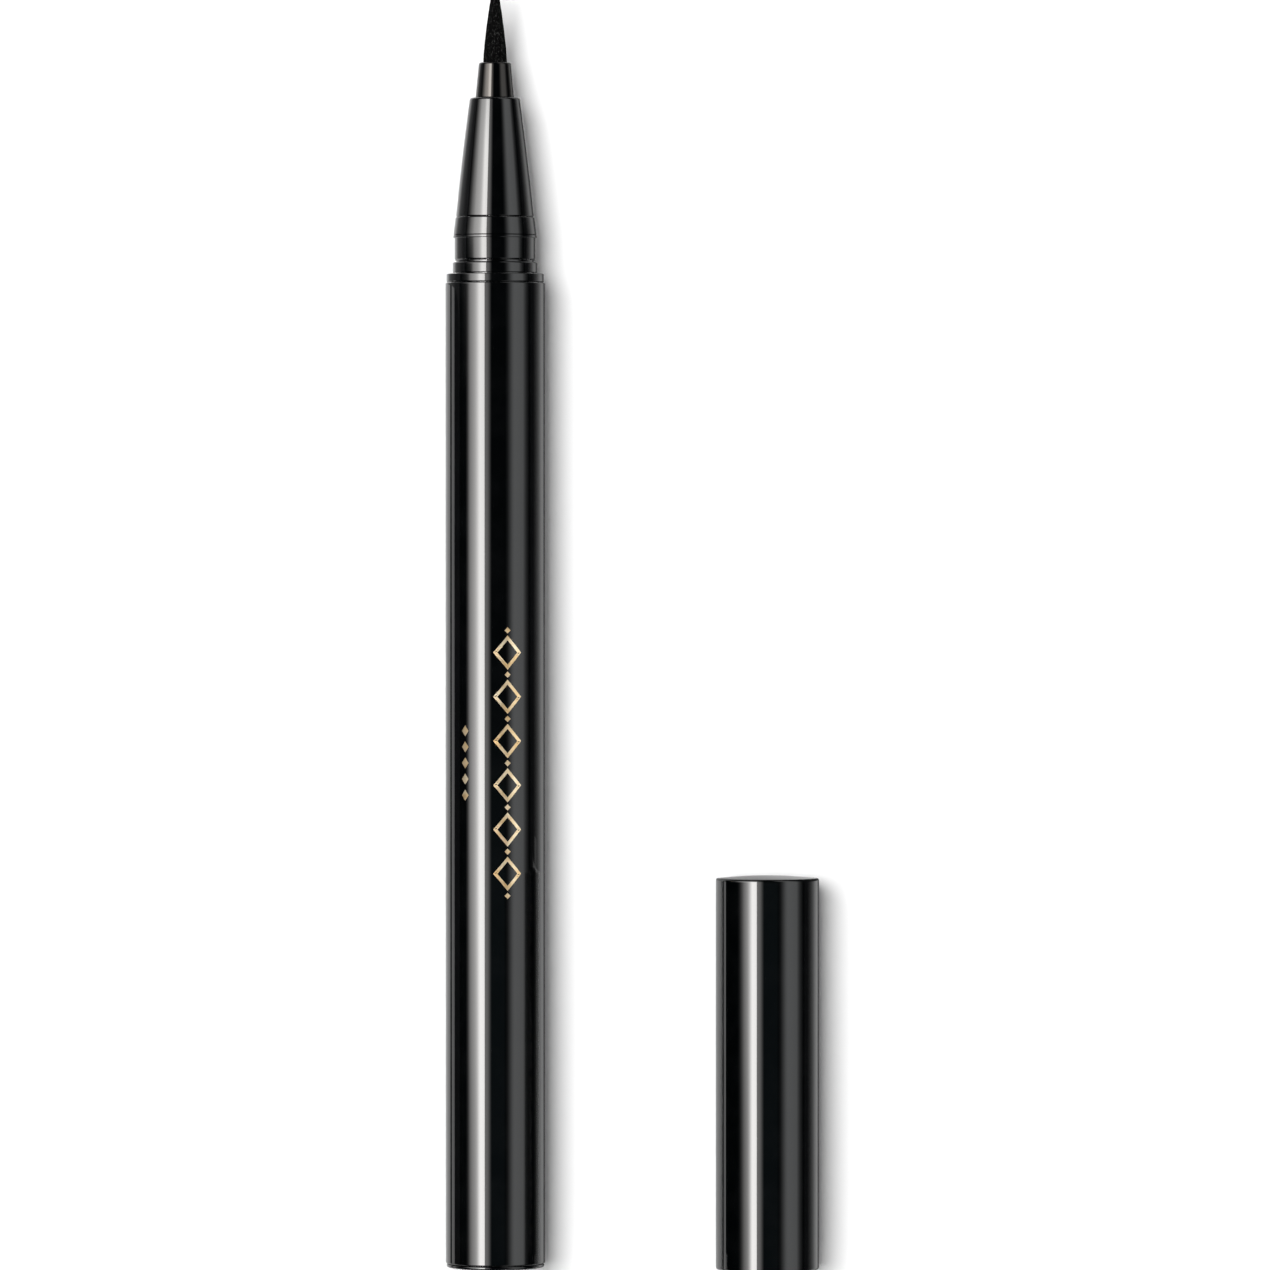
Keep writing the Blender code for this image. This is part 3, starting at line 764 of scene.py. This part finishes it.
class EYELINER_OT_barrel(Operator):
    """Build the barrel and the plug in its tail"""

    bl_idname = "eyeliner.barrel"
    bl_label = "Barrel"

    def execute(self, context):
        barrel = sizes("barrel")
        bore = barrel.radius - barrel.wall
        outline = tube(barrel.radius, bore, length_of("barrel_shell"), barrel.rounding)
        add_turned("barrel", "barrel_shell", "pen", outline)
        rim = barrel.radius - barrel.rim_step
        spigot = bore - sizes("gaps").press
        depth = length_of("tail_plug")
        floor = barrel.rim_length + barrel.floor
        outline = [
            (0, 0),
            (rim, 0, barrel.rim_rounding),
            (rim, barrel.rim_length, barrel.rounding),
            (spigot, barrel.rim_length),
            (spigot, depth, barrel.plug_wall / 4),
            (spigot - barrel.plug_wall, depth),
            (spigot - barrel.plug_wall, floor),
            (0, floor),
        ]
        add_turned("tail_end", "tail_plug", "pen", outline)
        return {"FINISHED"}


class EYELINER_OT_neck(Operator):
    """Build the collar with its snap bead, and the neck with its flare"""

    bl_idname = "eyeliner.neck"
    bl_label = "Collar, Neck and Flare"

    def coupling_outline(self):
        neck = sizes("neck")
        barrel = sizes("barrel")
        spigot = barrel.radius - barrel.wall - sizes("gaps").press
        collar = barrel.radius - neck.collar_step
        side = neck_radius()
        groove = side - neck.groove_depth
        bead_side = side + neck.bead_height
        collar_top = neck.coupling_depth + neck.collar_length
        bead = collar_top + neck.groove_length
        bead_top = bead + neck.bead_length
        lip = bead_top + neck.lip_groove
        top = lip + neck.lip_length
        bore = coupling_bore()
        return [
            (bore, 0),
            (spigot, 0),
            (spigot, neck.coupling_depth),
            (collar, neck.coupling_depth, neck.seam),
            (collar, collar_top, neck.collar_rounding),
            (groove, collar_top),
            (groove, bead),
            (bead_side, bead, neck.bead_back_rounding),
            (bead_side, bead_top, neck.bead_rounding),
            (groove, bead_top),
            (groove, lip),
            (side, lip, neck.seam / 2),
            (side, top, neck.seam),
            (bore, top),
        ]

    def ring_outline(self):
        neck = sizes("neck")
        bore = ring_bore()
        spigot = bore + neck.spigot_wall
        side = neck_radius()
        flare = side + neck.flare_height
        flare_top = side - sizes("front").foot_inset + neck.flare_step
        base = neck.spigot + neck.neck_length
        top = base + neck.flare_length
        score = base + neck.band_length
        slope = (flare_top - flare) / neck.flare_length
        return [
            (bore, 0),
            (spigot, 0),
            (spigot, neck.spigot),
            (side, neck.spigot, neck.seam),
            (side, base),
            (flare, base, neck.flare_rounding),
            (flare + slope * neck.band_length, score),
            (flare + slope * neck.band_length - neck.score_depth, score + neck.score_length / 2),
            (flare + slope * (neck.band_length + neck.score_length), score + neck.score_length),
            (flare_top, top, neck.seam),
            (bore, top),
        ]

    def execute(self, context):
        add_turned("collar", "coupling_sleeve", "pen", self.coupling_outline())
        add_turned("neck_ring", "front_ring", "pen", self.ring_outline())
        return {"FINISHED"}


class EYELINER_OT_front(Operator):
    """Build the tapered front and the sleeve that holds the felt"""

    bl_idname = "eyeliner.front"
    bl_label = "Front and Tip Holder"

    def cone_outline(self):
        front = sizes("front")
        bore = cone_bore()
        spigot = bore + front.spigot_wall
        foot = neck_radius() - front.foot_inset
        top_radius = holder_bore() + front.holder_wall + front.holder_shoulder + front.ledge
        reach = length_of("front_cone") - front.spigot
        outline = [(bore, 0), (spigot, 0), (spigot, front.spigot), (foot, front.spigot, sizes("neck").seam)]
        for step in range(1, front.steps):
            part = step / front.steps
            bowed = foot + (top_radius - foot) * part + front.bow * 4 * part * (1 - part)
            outline.append((bowed, front.spigot + reach * part))
        top = front.spigot + reach
        return outline + [(top_radius, top, front.top_rounding), (bore, top)]

    def holder_outline(self):
        front = sizes("front")
        bore = holder_bore()
        shank = bore + front.holder_wall
        top = length_of("tip_holder")
        return [
            (bore, 0),
            (shank, 0),
            (shank, front.holder_shank),
            (shank + front.holder_shoulder, front.holder_shank + sizes("gaps").face),
            (bore + front.lip_wall, top, front.lip_rounding),
            (bore, top, front.lip_rounding / 3),
        ]

    def execute(self, context):
        add_turned("front", "front_cone", "pen", self.cone_outline())
        add_turned("tip_sleeve", "tip_holder", "pen", self.holder_outline(), holder_black)
        return {"FINISHED"}


class EYELINER_OT_felt(Operator):
    """Build the felt tip, with the rise and fall of its nap"""

    bl_idname = "eyeliner.felt"
    bl_label = "Felt Tip"

    def raise_nap(self, mesh):
        """Moves the surface in front of the shank in and out by noise, less towards the point."""
        felt = sizes("felt")
        for vert in mesh.vertices:
            side = Vector((vert.co.x, vert.co.y, 0))
            if side.length < felt.point_radius / 2 or vert.co.z < felt.shank:
                continue
            spot = Vector((side.x / felt.nap_width, side.y / felt.nap_width, vert.co.z / felt.nap_length))
            drop = felt.nap * (noise.fractal(spot, *NAP_LAYERS) - 1)
            vert.co += side.normalized() * drop * min(1, side.length / felt.radius * 2)
        smooth(mesh)

    def execute(self, context):
        felt = sizes("felt")
        whole = length_of("felt_tip")
        reach = whole - felt.shank
        outline = [(0, 0), (felt.radius, 0, felt.radius / 4)]
        for step in range(felt.steps):
            part = step / felt.steps
            taper = (felt.radius - felt.point_radius) * part**felt.ogive_power
            outline.append((felt.radius - taper, felt.shank + reach * part))
        outline += [(felt.point_radius, whole, felt.point_radius), (0, whole)]
        mesh = turned_mesh("felt", outline, felt.sides)
        self.raise_nap(mesh)
        add_piece("felt", mesh, seat("felt_tip", "pen"), inked_felt, "felt_tip", "pen")
        return {"FINISHED"}


class EYELINER_OT_foil(Operator):
    """Stamp a plain chain of gold lozenges on the barrel"""

    bl_idname = "eyeliner.foil"
    bl_label = "Gold Foil"

    def on_barrel(self, across, along, top):
        """A point of the foil, across the barrel's top towards the cap and along it from the tail."""
        foil = sizes("foil")
        radius = sizes("barrel").radius * FIT
        out = radius + (foil.thickness if top else -foil.depth)
        return (out * sin(across / radius), -out * cos(across / radius), along)

    def side_points(self, width, tall):
        """Points round a lozenge's outline, as (across, along)."""
        cuts = sizes("foil").cuts
        corners = [(0, tall / 2), (width / 2, 0), (0, -tall / 2), (-width / 2, 0)]
        points = []
        for (x, y), (next_x, next_y) in zip(corners, corners[1:] + corners[:1]):
            for part in (cut / cuts for cut in range(cuts)):
                points.append((x + (next_x - x) * part, y + (next_y - y) * part))
        return points

    def add_lozenge(self, shape, across, along, width, tall, hollow):
        """Adds a slab in the shape of a lozenge, or of a lozenge's line if hollow is over zero."""
        verts = []
        for part in (1, hollow or 0.5):
            ring = self.side_points(width * part, tall * part)
            for top in (False, True):
                places = [self.on_barrel(across + x, along + y, top) for x, y in ring]
                verts.append([shape.verts.new(place) for place in places])
        loops = [(verts[1], verts[3]), (verts[0], verts[1]), (verts[2], verts[0])]
        if hollow:
            loops.insert(2, (verts[3], verts[2]))
        around = len(verts[0])
        for first, second in loops:
            for index in range(around):
                after = (index + 1) % around
                shape.faces.new((first[index], first[after], second[after], second[index]))
        if not hollow:
            for ring, top in ((verts[2], False), (verts[3], True)):
                middle = shape.verts.new(self.on_barrel(across, along, top))
                for index in range(around):
                    shape.faces.new((ring[index], ring[(index + 1) % around], middle))

    def stamp(self, name, turn, make, rows):
        """Stamps rows of (number, pitch, width, length, hollow) lozenges about the foil's middle."""
        radius = sizes("barrel").radius * FIT
        across = turn * radius
        shape = bmesh.new()
        for number, pitch, width, tall, hollow in rows:
            start = sizes("foil").middle - pitch * (number - 1) / 2
            for index in range(number):
                self.add_lozenge(shape, across, start + pitch * index, width, tall, hollow)
        bmesh.ops.recalc_face_normals(shape, faces=shape.faces)
        mesh = mesh_of(name, shape)
        smooth(mesh)
        add_drawn(name, mesh, seat("tail_plug", "pen"), make, "pen")

    def execute(self, context):
        foil = sizes("foil")
        hollow = 1 - 2 * foil.stroke / foil.link_width
        chain = (
            (foil.links, foil.pitch, foil.link_width, foil.link_length, hollow),
            (foil.links + 1, foil.pitch, foil.bead, foil.bead, 0),
        )
        row = (foil.row_links, foil.row_pitch, foil.row_width, foil.row_length, 0)
        self.stamp("foil_chain", foil.turn, gold_foil, chain)
        # The small row wears a darker copy of the gold: painted shade
        self.stamp("foil_row", foil.row_turn, shaded_foil, (row,))
        return {"FINISHED"}


class EYELINER_OT_ink_parts(Operator):
    """Build the ink tank, its stopper, the collector, the relay core and the ball"""

    bl_idname = "eyeliner.ink_parts"
    bl_label = "Ink Tank and Collector"

    def stopper_outline(self):
        ink = sizes("ink")
        spigot = tank_bore() - sizes("gaps").press
        recess = spigot - ink.stopper_wall
        depth = length_of("tank_stopper")
        return [
            (0, depth),
            (spigot, depth, ink.stopper_wall / 2),
            (spigot, ink.flange),
            (tank_radius(), ink.flange),
            (tank_radius(), 0, ink.flange / 4),
            (recess, 0, ink.flange / 4),
            (recess, depth - ink.stopper_wall, ink.stopper_wall / 4),
            (0, depth - ink.stopper_wall),
        ]

    def comb_outline(self):
        ink = sizes("ink")
        bore = ink.relay_radius + sizes("gaps").press
        core = bore + ink.core_wall
        disc = tank_bore() * FIT - sizes("gaps").press
        fin = disc - ink.fin_gap
        whole = length_of("comb_collector")
        last = whole - ink.disc
        pitch = (last - ink.disc + ink.fin_thickness) / (ink.fins + 1)
        edge = ink.fin_thickness / 6
        outline = [(bore, 0), (disc, 0, edge), (disc, ink.disc, edge), (core, ink.disc)]
        for index in range(ink.fins):
            base = ink.disc - ink.fin_thickness + (index + 1) * pitch
            top = base + ink.fin_thickness
            outline += [(core, base), (fin, base, edge), (fin, top, edge), (core, top)]
        return outline + [(core, last), (disc, last, edge), (disc, whole, edge), (bore, whole)]

    def relay_outline(self):
        radius = sizes("ink").relay_radius
        reach = length_of("relay_core")
        return [(0, 0), (radius, 0, radius / 4), (radius, reach, radius / 4), (0, reach)]

    def execute(self, context):
        ink = sizes("ink")
        tank = tube(tank_radius(), tank_bore(), length_of("ink_tank"))
        for name, node, outline, make, slot in (
            ("tank", "ink_tank", tank, natural_plastic, "natural_plastic"),
            ("stopper", "tank_stopper", self.stopper_outline(), natural_plastic, "natural_plastic"),
            ("collector", "comb_collector", self.comb_outline(), white_plastic, "comb_white"),
            ("relay_rod", "relay_core", self.relay_outline(), inked_fibre, "fibre"),
        ):
            add_turned(name, node, "pen", outline, make, ink.sides)
        shape = bmesh.new()
        bmesh.ops.create_uvsphere(
            shape,
            u_segments=2 * ink.ball_rings,
            v_segments=ink.ball_rings,
            radius=ink.ball_radius * FIT,
        )
        mesh = mesh_of("ball", shape)
        mesh.shade_smooth()
        low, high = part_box("mixing_ball")
        add_piece("ball", mesh, (low + high) / 2, bright_steel, "mixing_ball", "mixing_ball")
        return {"FINISHED"}


class EYELINER_OT_cap(Operator):
    """Build the cap's tube and its domed crown"""

    bl_idname = "eyeliner.cap"
    bl_label = "Cap"

    def shell_outline(self):
        cap = sizes("cap")
        gaps = sizes("gaps")
        bore = cap_bore()
        mouth = bore - cap.bore_step
        rib = mouth - cap.rib_height
        rib_base = cap.rib_place - cap.rib_length / 2
        rib_top = cap.rib_place + cap.rib_length / 2
        step = cap.guide_place - gaps.face
        end = length_of("cap_shell")
        ledge = bore + cap.crown_ledge + gaps.press
        ledge_base = end - cap.crown_plate - gaps.face
        outer = bore + cap.wall
        return [
            (outer, end, cap.end_rounding),
            (ledge, end),
            (ledge, ledge_base),
            (bore, ledge_base),
            (bore, step),
            (mouth, step),
            (mouth, rib_top),
            (rib, rib_top, cap.rib_rounding),
            (rib, rib_base, cap.rib_rounding),
            (mouth, rib_base),
            (mouth, 0, cap.mouth_chamfer),
            (outer, 0, cap.mouth_rounding),
        ]

    def crown_outline(self):
        cap = sizes("cap")
        spigot = cap_bore() - sizes("gaps").press
        plate = cap.crown_spigot + cap.crown_plate
        edge = cap_bore() + cap.crown_ledge
        outline = [
            (0, cap.crown_spigot),
            (spigot - cap.crown_spigot_wall, cap.crown_spigot),
            (spigot - cap.crown_spigot_wall, 0),
            (spigot, 0),
            (spigot, cap.crown_spigot),
            (edge, cap.crown_spigot),
        ]
        for step in range(cap.dome_steps + 1):
            part = 1 - step / cap.dome_steps
            outline.append((edge * part, plate + cap.crown_rise * (1 - part**2)))
        return outline

    def execute(self, context):
        add_turned("cap_tube", "cap_shell", "cap", self.shell_outline())
        add_turned("cap_end", "cap_crown", "cap", self.crown_outline())
        return {"FINISHED"}


class EYELINER_OT_inner_cap(Operator):
    """Build the inner cap and the guide that it slides in"""

    bl_idname = "eyeliner.inner_cap"
    bl_label = "Inner Cap and Guide"

    def cup_outline(self):
        inner = sizes("inner_cap")
        whole = length_of("inner_cap")
        bore = inner.radius - inner.wall
        flange = cap_bore() - sizes("gaps").slide
        return [
            (0, whole - inner.end),
            (bore, whole - inner.end, inner.rounding),
            (bore, 0, inner.rounding),
            (inner.radius, 0, inner.rounding),
            (inner.radius, whole - inner.flange),
            (flange, whole - inner.flange),
            (flange, whole, inner.rounding / 2),
            (0, whole),
        ]

    def execute(self, context):
        inner = sizes("inner_cap")
        outer = cap_bore() - sizes("gaps").press
        bore = inner.radius + sizes("gaps").slide
        guide = tube(outer, bore, length_of("inner_cap_guide"), inner.rounding / 4)
        for name, node, body, outline in (
            ("guide", "inner_cap_guide", "cap", guide),
            ("inner_cup", "inner_cap", "inner_cap", self.cup_outline()),
        ):
            add_turned(name, node, body, outline, natural_plastic)
        return {"FINISHED"}


class EYELINER_OT_spring(Operator):
    """Wind the spring that presses on the inner cap"""

    bl_idname = "eyeliner.spring"
    bl_label = "Spring"

    def wire_points(self, reach):
        """The wire's middle line: a straight end, the turns, and a straight end."""
        inner = sizes("inner_cap")
        radius = inner.spring_radius
        straight = 2 * inner.wire_radius
        rise = reach - 2 * straight
        total = inner.spring_turns * inner.turn_points
        points = [Vector((radius, 0, 0))]
        for index in range(total + 1):
            turn = 2 * pi * index / inner.turn_points
            points.append(Vector((radius * cos(turn), radius * sin(turn), straight + rise * index / total)))
        return points + [Vector((radius, 0, reach))]

    def wire_mesh(self, points):
        """A round wire along a middle line that winds about Z."""
        inner = sizes("inner_cap")
        shape = bmesh.new()
        rings = []
        for index, point in enumerate(points):
            along = (points[min(index + 1, len(points) - 1)] - points[max(index - 1, 0)]).normalized()
            up = along.cross(Vector((point.x, point.y, 0)).normalized()).normalized()
            out = up.cross(along)
            ring = []
            for side in range(inner.wire_sides):
                turn = 2 * pi * side / inner.wire_sides
                place = point + (out * cos(turn) + up * sin(turn)) * inner.wire_radius
                ring.append(shape.verts.new(place))
            rings.append(ring)
        for first, second in zip(rings, rings[1:]):
            for side in range(inner.wire_sides):
                after = (side + 1) % inner.wire_sides
                shape.faces.new((first[side], first[after], second[after], second[side]))
        shape.faces.new(rings[0])
        shape.faces.new(rings[-1])
        bmesh.ops.recalc_face_normals(shape, faces=shape.faces)
        return mesh_of("coil", shape)

    def execute(self, context):
        reach = length_of("inner_cap_spring")
        mesh = self.wire_mesh(self.wire_points(reach))
        smooth(mesh)
        place = seat("inner_cap_spring", "cap")
        piece = add_piece("coil", mesh, place, bright_steel, "inner_cap_spring", "cap")
        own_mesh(piece)
        return {"FINISHED"}


class EYELINER_OT_stage(Operator):
    """Set up the floor, the lights and the camera"""

    bl_idname = "eyeliner.stage"
    bl_label = "Stage"

    def add_tree(self, name, thing):
        """The empty nodes of a new material that an object of the stage wears."""
        material = bpy.data.materials.new(name)
        thing.data.materials.append(material)
        tree = Tree(material)
        tree.nodes.clear()
        return tree

    def add_floor(self):
        """A plain round floor, which the camera and the polish see as pale as the backdrop."""
        stage = sizes("stage")
        shape = bmesh.new()
        bmesh.ops.create_circle(shape, cap_ends=True, radius=REACH, segments=FLOOR_SIDES)
        bmesh.ops.translate(shape, verts=shape.verts, vec=(0, 0, -FLOOR_DROP))
        floor = add_object("floor", mesh_of("floor", shape))
        tree = self.add_tree("pale_floor", floor)
        ray = tree.add("LightPath").outputs
        seen = tree.math("MAXIMUM", ray["Is Camera Ray"], ray["Is Glossy Ray"])
        tones = {"A": (*stage.floor, 1), "B": (*stage.backdrop, 1), "Factor": seen}
        tone = tree.add("Mix", tones, data_type="RGBA").outputs["Result"]
        tree.show(tree.add("BsdfDiffuse", {"Color": tone}))

    def add_lamp(self):
        """A soft lamp that casts the shadow and isn't mirrored."""
        stage = sizes("stage")
        distance = stage.light_distance
        first, last = LAMP_ACROSS
        near, far = (tan(turn) for turn in LAMP_ALONG)
        middle = (first + last) / 2
        lamp = bpy.data.lights.new("lamp", "AREA")
        lamp.shape = "RECTANGLE"
        lamp.size = 2 * distance * tan((last - first) / 2)
        lamp.size_y = distance * (far - near)
        lamp.energy = stage.lamp * pi * lamp.size * lamp.size_y
        light = add_object("lamp", lamp)
        light.location = (distance * sin(middle), distance * (far + near) / 2, distance * cos(middle))
        light.rotation_euler = (0, middle, 0)
        light.visible_glossy = False

    def add_strip(self, name, points, ends, level=1.0):
        """Adds a strip over (x, z, share) points and (y, share) ends.

        It hands over the strip's nodes, and its shares times a level.
        """
        shape = bmesh.new()
        layer = shape.loops.layers.uv.new("share")
        rows = [[shape.verts.new((x, y, z)) for y, _ in ends] for x, z, _ in points]
        for index in range(len(points) - 1):
            for end in range(len(ends) - 1):
                corners = ((index, end), (index, end + 1), (index + 1, end + 1), (index + 1, end))
                face = shape.faces.new([rows[row][column] for row, column in corners])
                for loop, (row, column) in zip(face.loops, corners):
                    loop[layer].uv = (points[row][2], ends[column][1])
        strip = add_object(name, mesh_of(name, shape))
        strip.visible_camera = strip.visible_diffuse = strip.visible_shadow = False
        tree = self.add_tree(name, strip)
        shares = tree.add("SeparateXYZ", {"Vector": tree.add("UVMap", uv_map="share")}).outputs
        return tree, tree.math("MULTIPLY", tree.math("MULTIPLY", shares["X"], shares["Y"]), level)

    def add_panel(self, name, light, side, shares, ends, nearness):
        """A curved panel of light that only the polish mirrors, over (degrees, share) pairs."""
        stage = sizes("stage")
        distance = stage.light_distance * nearness
        points = []
        for degrees, part in shares:
            turn = radians(side * degrees)
            points.append((distance * sin(turn), distance * cos(turn), part))
        tree, level = self.add_strip(name, points, ends, getattr(stage, light))
        tint = (*getattr(stage, light + "_tint"), 1)
        glow = tree.add("Emission", {"Color": tint, "Strength": level})
        tree.show(tree.add("AddShader", {0: glow, 1: tree.add("BsdfTransparent")}))

    def add_card(self, name, points, near, far):
        """A dark card that only the polish mirrors, over (x, share) points. A low share is see-through."""
        points = [(x, CARD_LIFT, part) for x, part in points]
        tree, level = self.add_strip(name, points, ((near, 1), (far, 1)))
        dark = tree.add("BsdfDiffuse", {"Color": (*sizes("stage").card, 1)})
        clear = tree.add("BsdfTransparent")
        tree.show(tree.add("MixShader", {"Fac": level, 1: clear, 2: dark}))

    def add_upright(self, name, heights, far, lit):
        """An upright card halfway between the pen and the cap, over (z, share) points.

        It is seen from one side only: from the pen where its heights fall, from the cap where they
        rise. It glows by its share if it is lit, and hides what is behind it by its share if not.
        """
        points = [(0.0, height, part) for height, part in heights]
        ends = ((-REACH, 1), (far, 1))
        tree, level = self.add_strip(name, points, ends, UPRIGHT_LEVEL if lit else 1.0)
        clear = tree.add("BsdfTransparent")
        face = tree.add("Emission", {"Strength": level if lit else 0})
        if not lit:
            face = tree.add("MixShader", {"Fac": level, 1: clear, 2: face})
        behind = tree.add("NewGeometry").outputs["Backfacing"]
        tree.show(tree.add("MixShader", {"Fac": behind, 1: face, 2: clear}))

    def corner_glow(self, tree):
        """The dark room with a soft glow in its four corners, at mid height."""
        stage = sizes("stage")
        place = tree.add("SeparateXYZ", {"Vector": tree.add("TexCoord").outputs["Generated"]}).outputs
        level = 1.0
        for axis, stops in CORNER_STOPS.items():
            away = place[axis] if axis == "Z" else tree.math("ABSOLUTE", place[axis])
            ramp = tree.ramp(away, [(stop, (part, part, part)) for stop, part in stops])
            ramp.color_ramp.interpolation = "EASE"
            level = tree.math("MULTIPLY", level, ramp)
        return tree.math("MULTIPLY_ADD", level, stage.room_ends, stage.dark_room)

    def add_room(self):
        """A pale room that is dark where the polish mirrors it."""
        stage = sizes("stage")
        world = bpy.data.worlds.new("room")
        tree = Tree(world)
        ray = tree.add("LightPath").outputs
        glow = self.corner_glow(tree)
        room = tree.add("Mix", {"A": stage.room, "B": glow, "Factor": ray["Is Glossy Ray"]})
        seen = tree.add("Mix", {"A": room, "B": stage.backdrop[0], "Factor": ray["Is Camera Ray"]})
        tree.put(tree.nodes["Background"].inputs, {"Color": (1, 1, 1, 1), "Strength": seen})
        bpy.context.scene.world = world

    def add_camera(self):
        """The camera, over the front half of the barrel and tilted a little towards the tail."""
        stage = sizes("stage")
        pixel = stage.view_width / PICTURE
        middle = PICTURE / 2
        tail = seat("tail_plug", "pen")
        y = tail.y + (TAIL_ROW - UNDER_ROW) * pixel
        aim = tail.y + (TAIL_ROW - middle) * pixel
        data = bpy.data.cameras.new("camera")
        data.sensor_width = SENSOR_WIDTH
        data.lens = SENSOR_WIDTH * stage.camera_height / stage.view_width
        data.clip_end = CLIP_END
        camera = add_object("camera", data)
        camera.location = (tail.x + (middle - PEN_COLUMN) * pixel, y, tail.z + stage.camera_height)
        camera.rotation_euler = (atan2(aim - y, stage.camera_height), 0, 0)
        bpy.context.scene.camera = camera

    def add_cards(self):
        """The cards on the floor about the pen and the cap, and the upright ones between the two."""
        pen = seat("barrel_shell", "pen").x
        cap = seat("cap_shell", "cap").x
        cap_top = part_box("cap_crown")[1].y
        crown_far = cap_top + CROWN_REACH
        barrel_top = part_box("barrel_shell")[1].y
        front = [(pen - away, part) for away, part in FRONT_SHARES]
        right = [(pen + away, part) for away, part in RIM_SHARES]
        over_crown = right[RIM_NEAR_POINTS - 1:RIM_CROWN_POINTS]
        crown = [(cap + away, part) for away, part in CROWN_SHARES]
        cap_right = [(cap + away, part) for away, part in RIM_SHARES]
        for name, points, near, far in (
            ("left_card", LEFT_CARD, -REACH, barrel_top),
            ("left_line", LEFT_LINE, -REACH, barrel_top),
            ("front_card", front, barrel_top, REACH),
            ("right_card", right[:RIM_NEAR_POINTS], cap_top, REACH),
            ("over_crown_card", over_crown, crown_far, REACH),
            ("far_card", right[RIM_CROWN_POINTS - 1:], cap_top, REACH),
            ("crown_card", crown, cap_top, crown_far),
            ("between_card", BETWEEN_SHARES, -REACH, cap_top),
        ):
            self.add_card(name, points, near, far)
        self.add_upright("pen_side_card", PEN_SIDE_SHARES, cap_top, lit=True)
        self.add_upright("cap_side_card", CAP_SIDE_SHARES, cap_top, lit=True)
        self.add_upright("cap_shade_card", CAP_SHADE_SHARES, cap_top, lit=False)
        self.add_card("cap_card", cap_right, -REACH, cap_top)

    def execute(self, context):
        self.add_floor()
        self.add_room()
        self.add_lamp()
        for panel in PANELS:
            self.add_panel(*panel)
        self.add_cards()
        self.add_camera()
        context.scene.view_settings.view_transform = "Standard"
        return {"FINISHED"}


# Each property group with its name, and the operators that the panel lists with it
ROWS = (
    ("gaps", GapSizes, ()),
    ("barrel", BarrelSizes, (EYELINER_OT_barrel,)),
    ("neck", NeckSizes, (EYELINER_OT_neck,)),
    ("front", FrontSizes, (EYELINER_OT_front,)),
    ("felt", FeltSizes, (EYELINER_OT_felt,)),
    ("foil", FoilSizes, (EYELINER_OT_foil,)),
    ("ink", InkSizes, (EYELINER_OT_ink_parts,)),
    ("cap", CapSizes, (EYELINER_OT_cap,)),
    ("inner_cap", InnerCapSizes, (EYELINER_OT_inner_cap, EYELINER_OT_spring)),
    ("stage", StageSettings, (EYELINER_OT_stage,)),
    ("finishes", Finishes, ()),
)


class EYELINER_PT_panel(Panel):
    """Lists the eyeliner's pieces and their sizes"""

    bl_idname = "EYELINER_PT_panel"
    bl_label = "Eyeliner"
    bl_space_type = "VIEW_3D"
    bl_region_type = "UI"
    bl_category = "Eyeliner"

    def draw(self, context):
        for name, _, operators in ROWS:
            box = self.layout.box()
            for operator in operators:
                box.operator(operator.bl_idname, text=operator.bl_label)
            settings = sizes(name)
            for key in settings.bl_rna.properties.keys():
                if key not in {"rna_type", "name"}:
                    box.prop(settings, key)


CLASSES = [each for _, group, operators in ROWS for each in (group, *operators)]
CLASSES.append(EYELINER_PT_panel)


def register():
    for each in CLASSES:
        bpy.utils.register_class(each)
    for name, group, _ in ROWS:
        setattr(bpy.types.Scene, "eyeliner_" + name, PointerProperty(type=group))


def unregister():
    for name, _, _ in ROWS:
        delattr(bpy.types.Scene, "eyeliner_" + name)
    for each in reversed(CLASSES):
        bpy.utils.unregister_class(each)


def main():
    register()
    bpy.ops.eyeliner.barrel()
    bpy.ops.eyeliner.neck()
    bpy.ops.eyeliner.front()
    bpy.ops.eyeliner.felt()
    bpy.ops.eyeliner.foil()
    bpy.ops.eyeliner.ink_parts()
    bpy.ops.eyeliner.cap()
    bpy.ops.eyeliner.inner_cap()
    bpy.ops.eyeliner.spring()
    bpy.ops.eyeliner.stage()


if __name__ == "__main__":
    main()
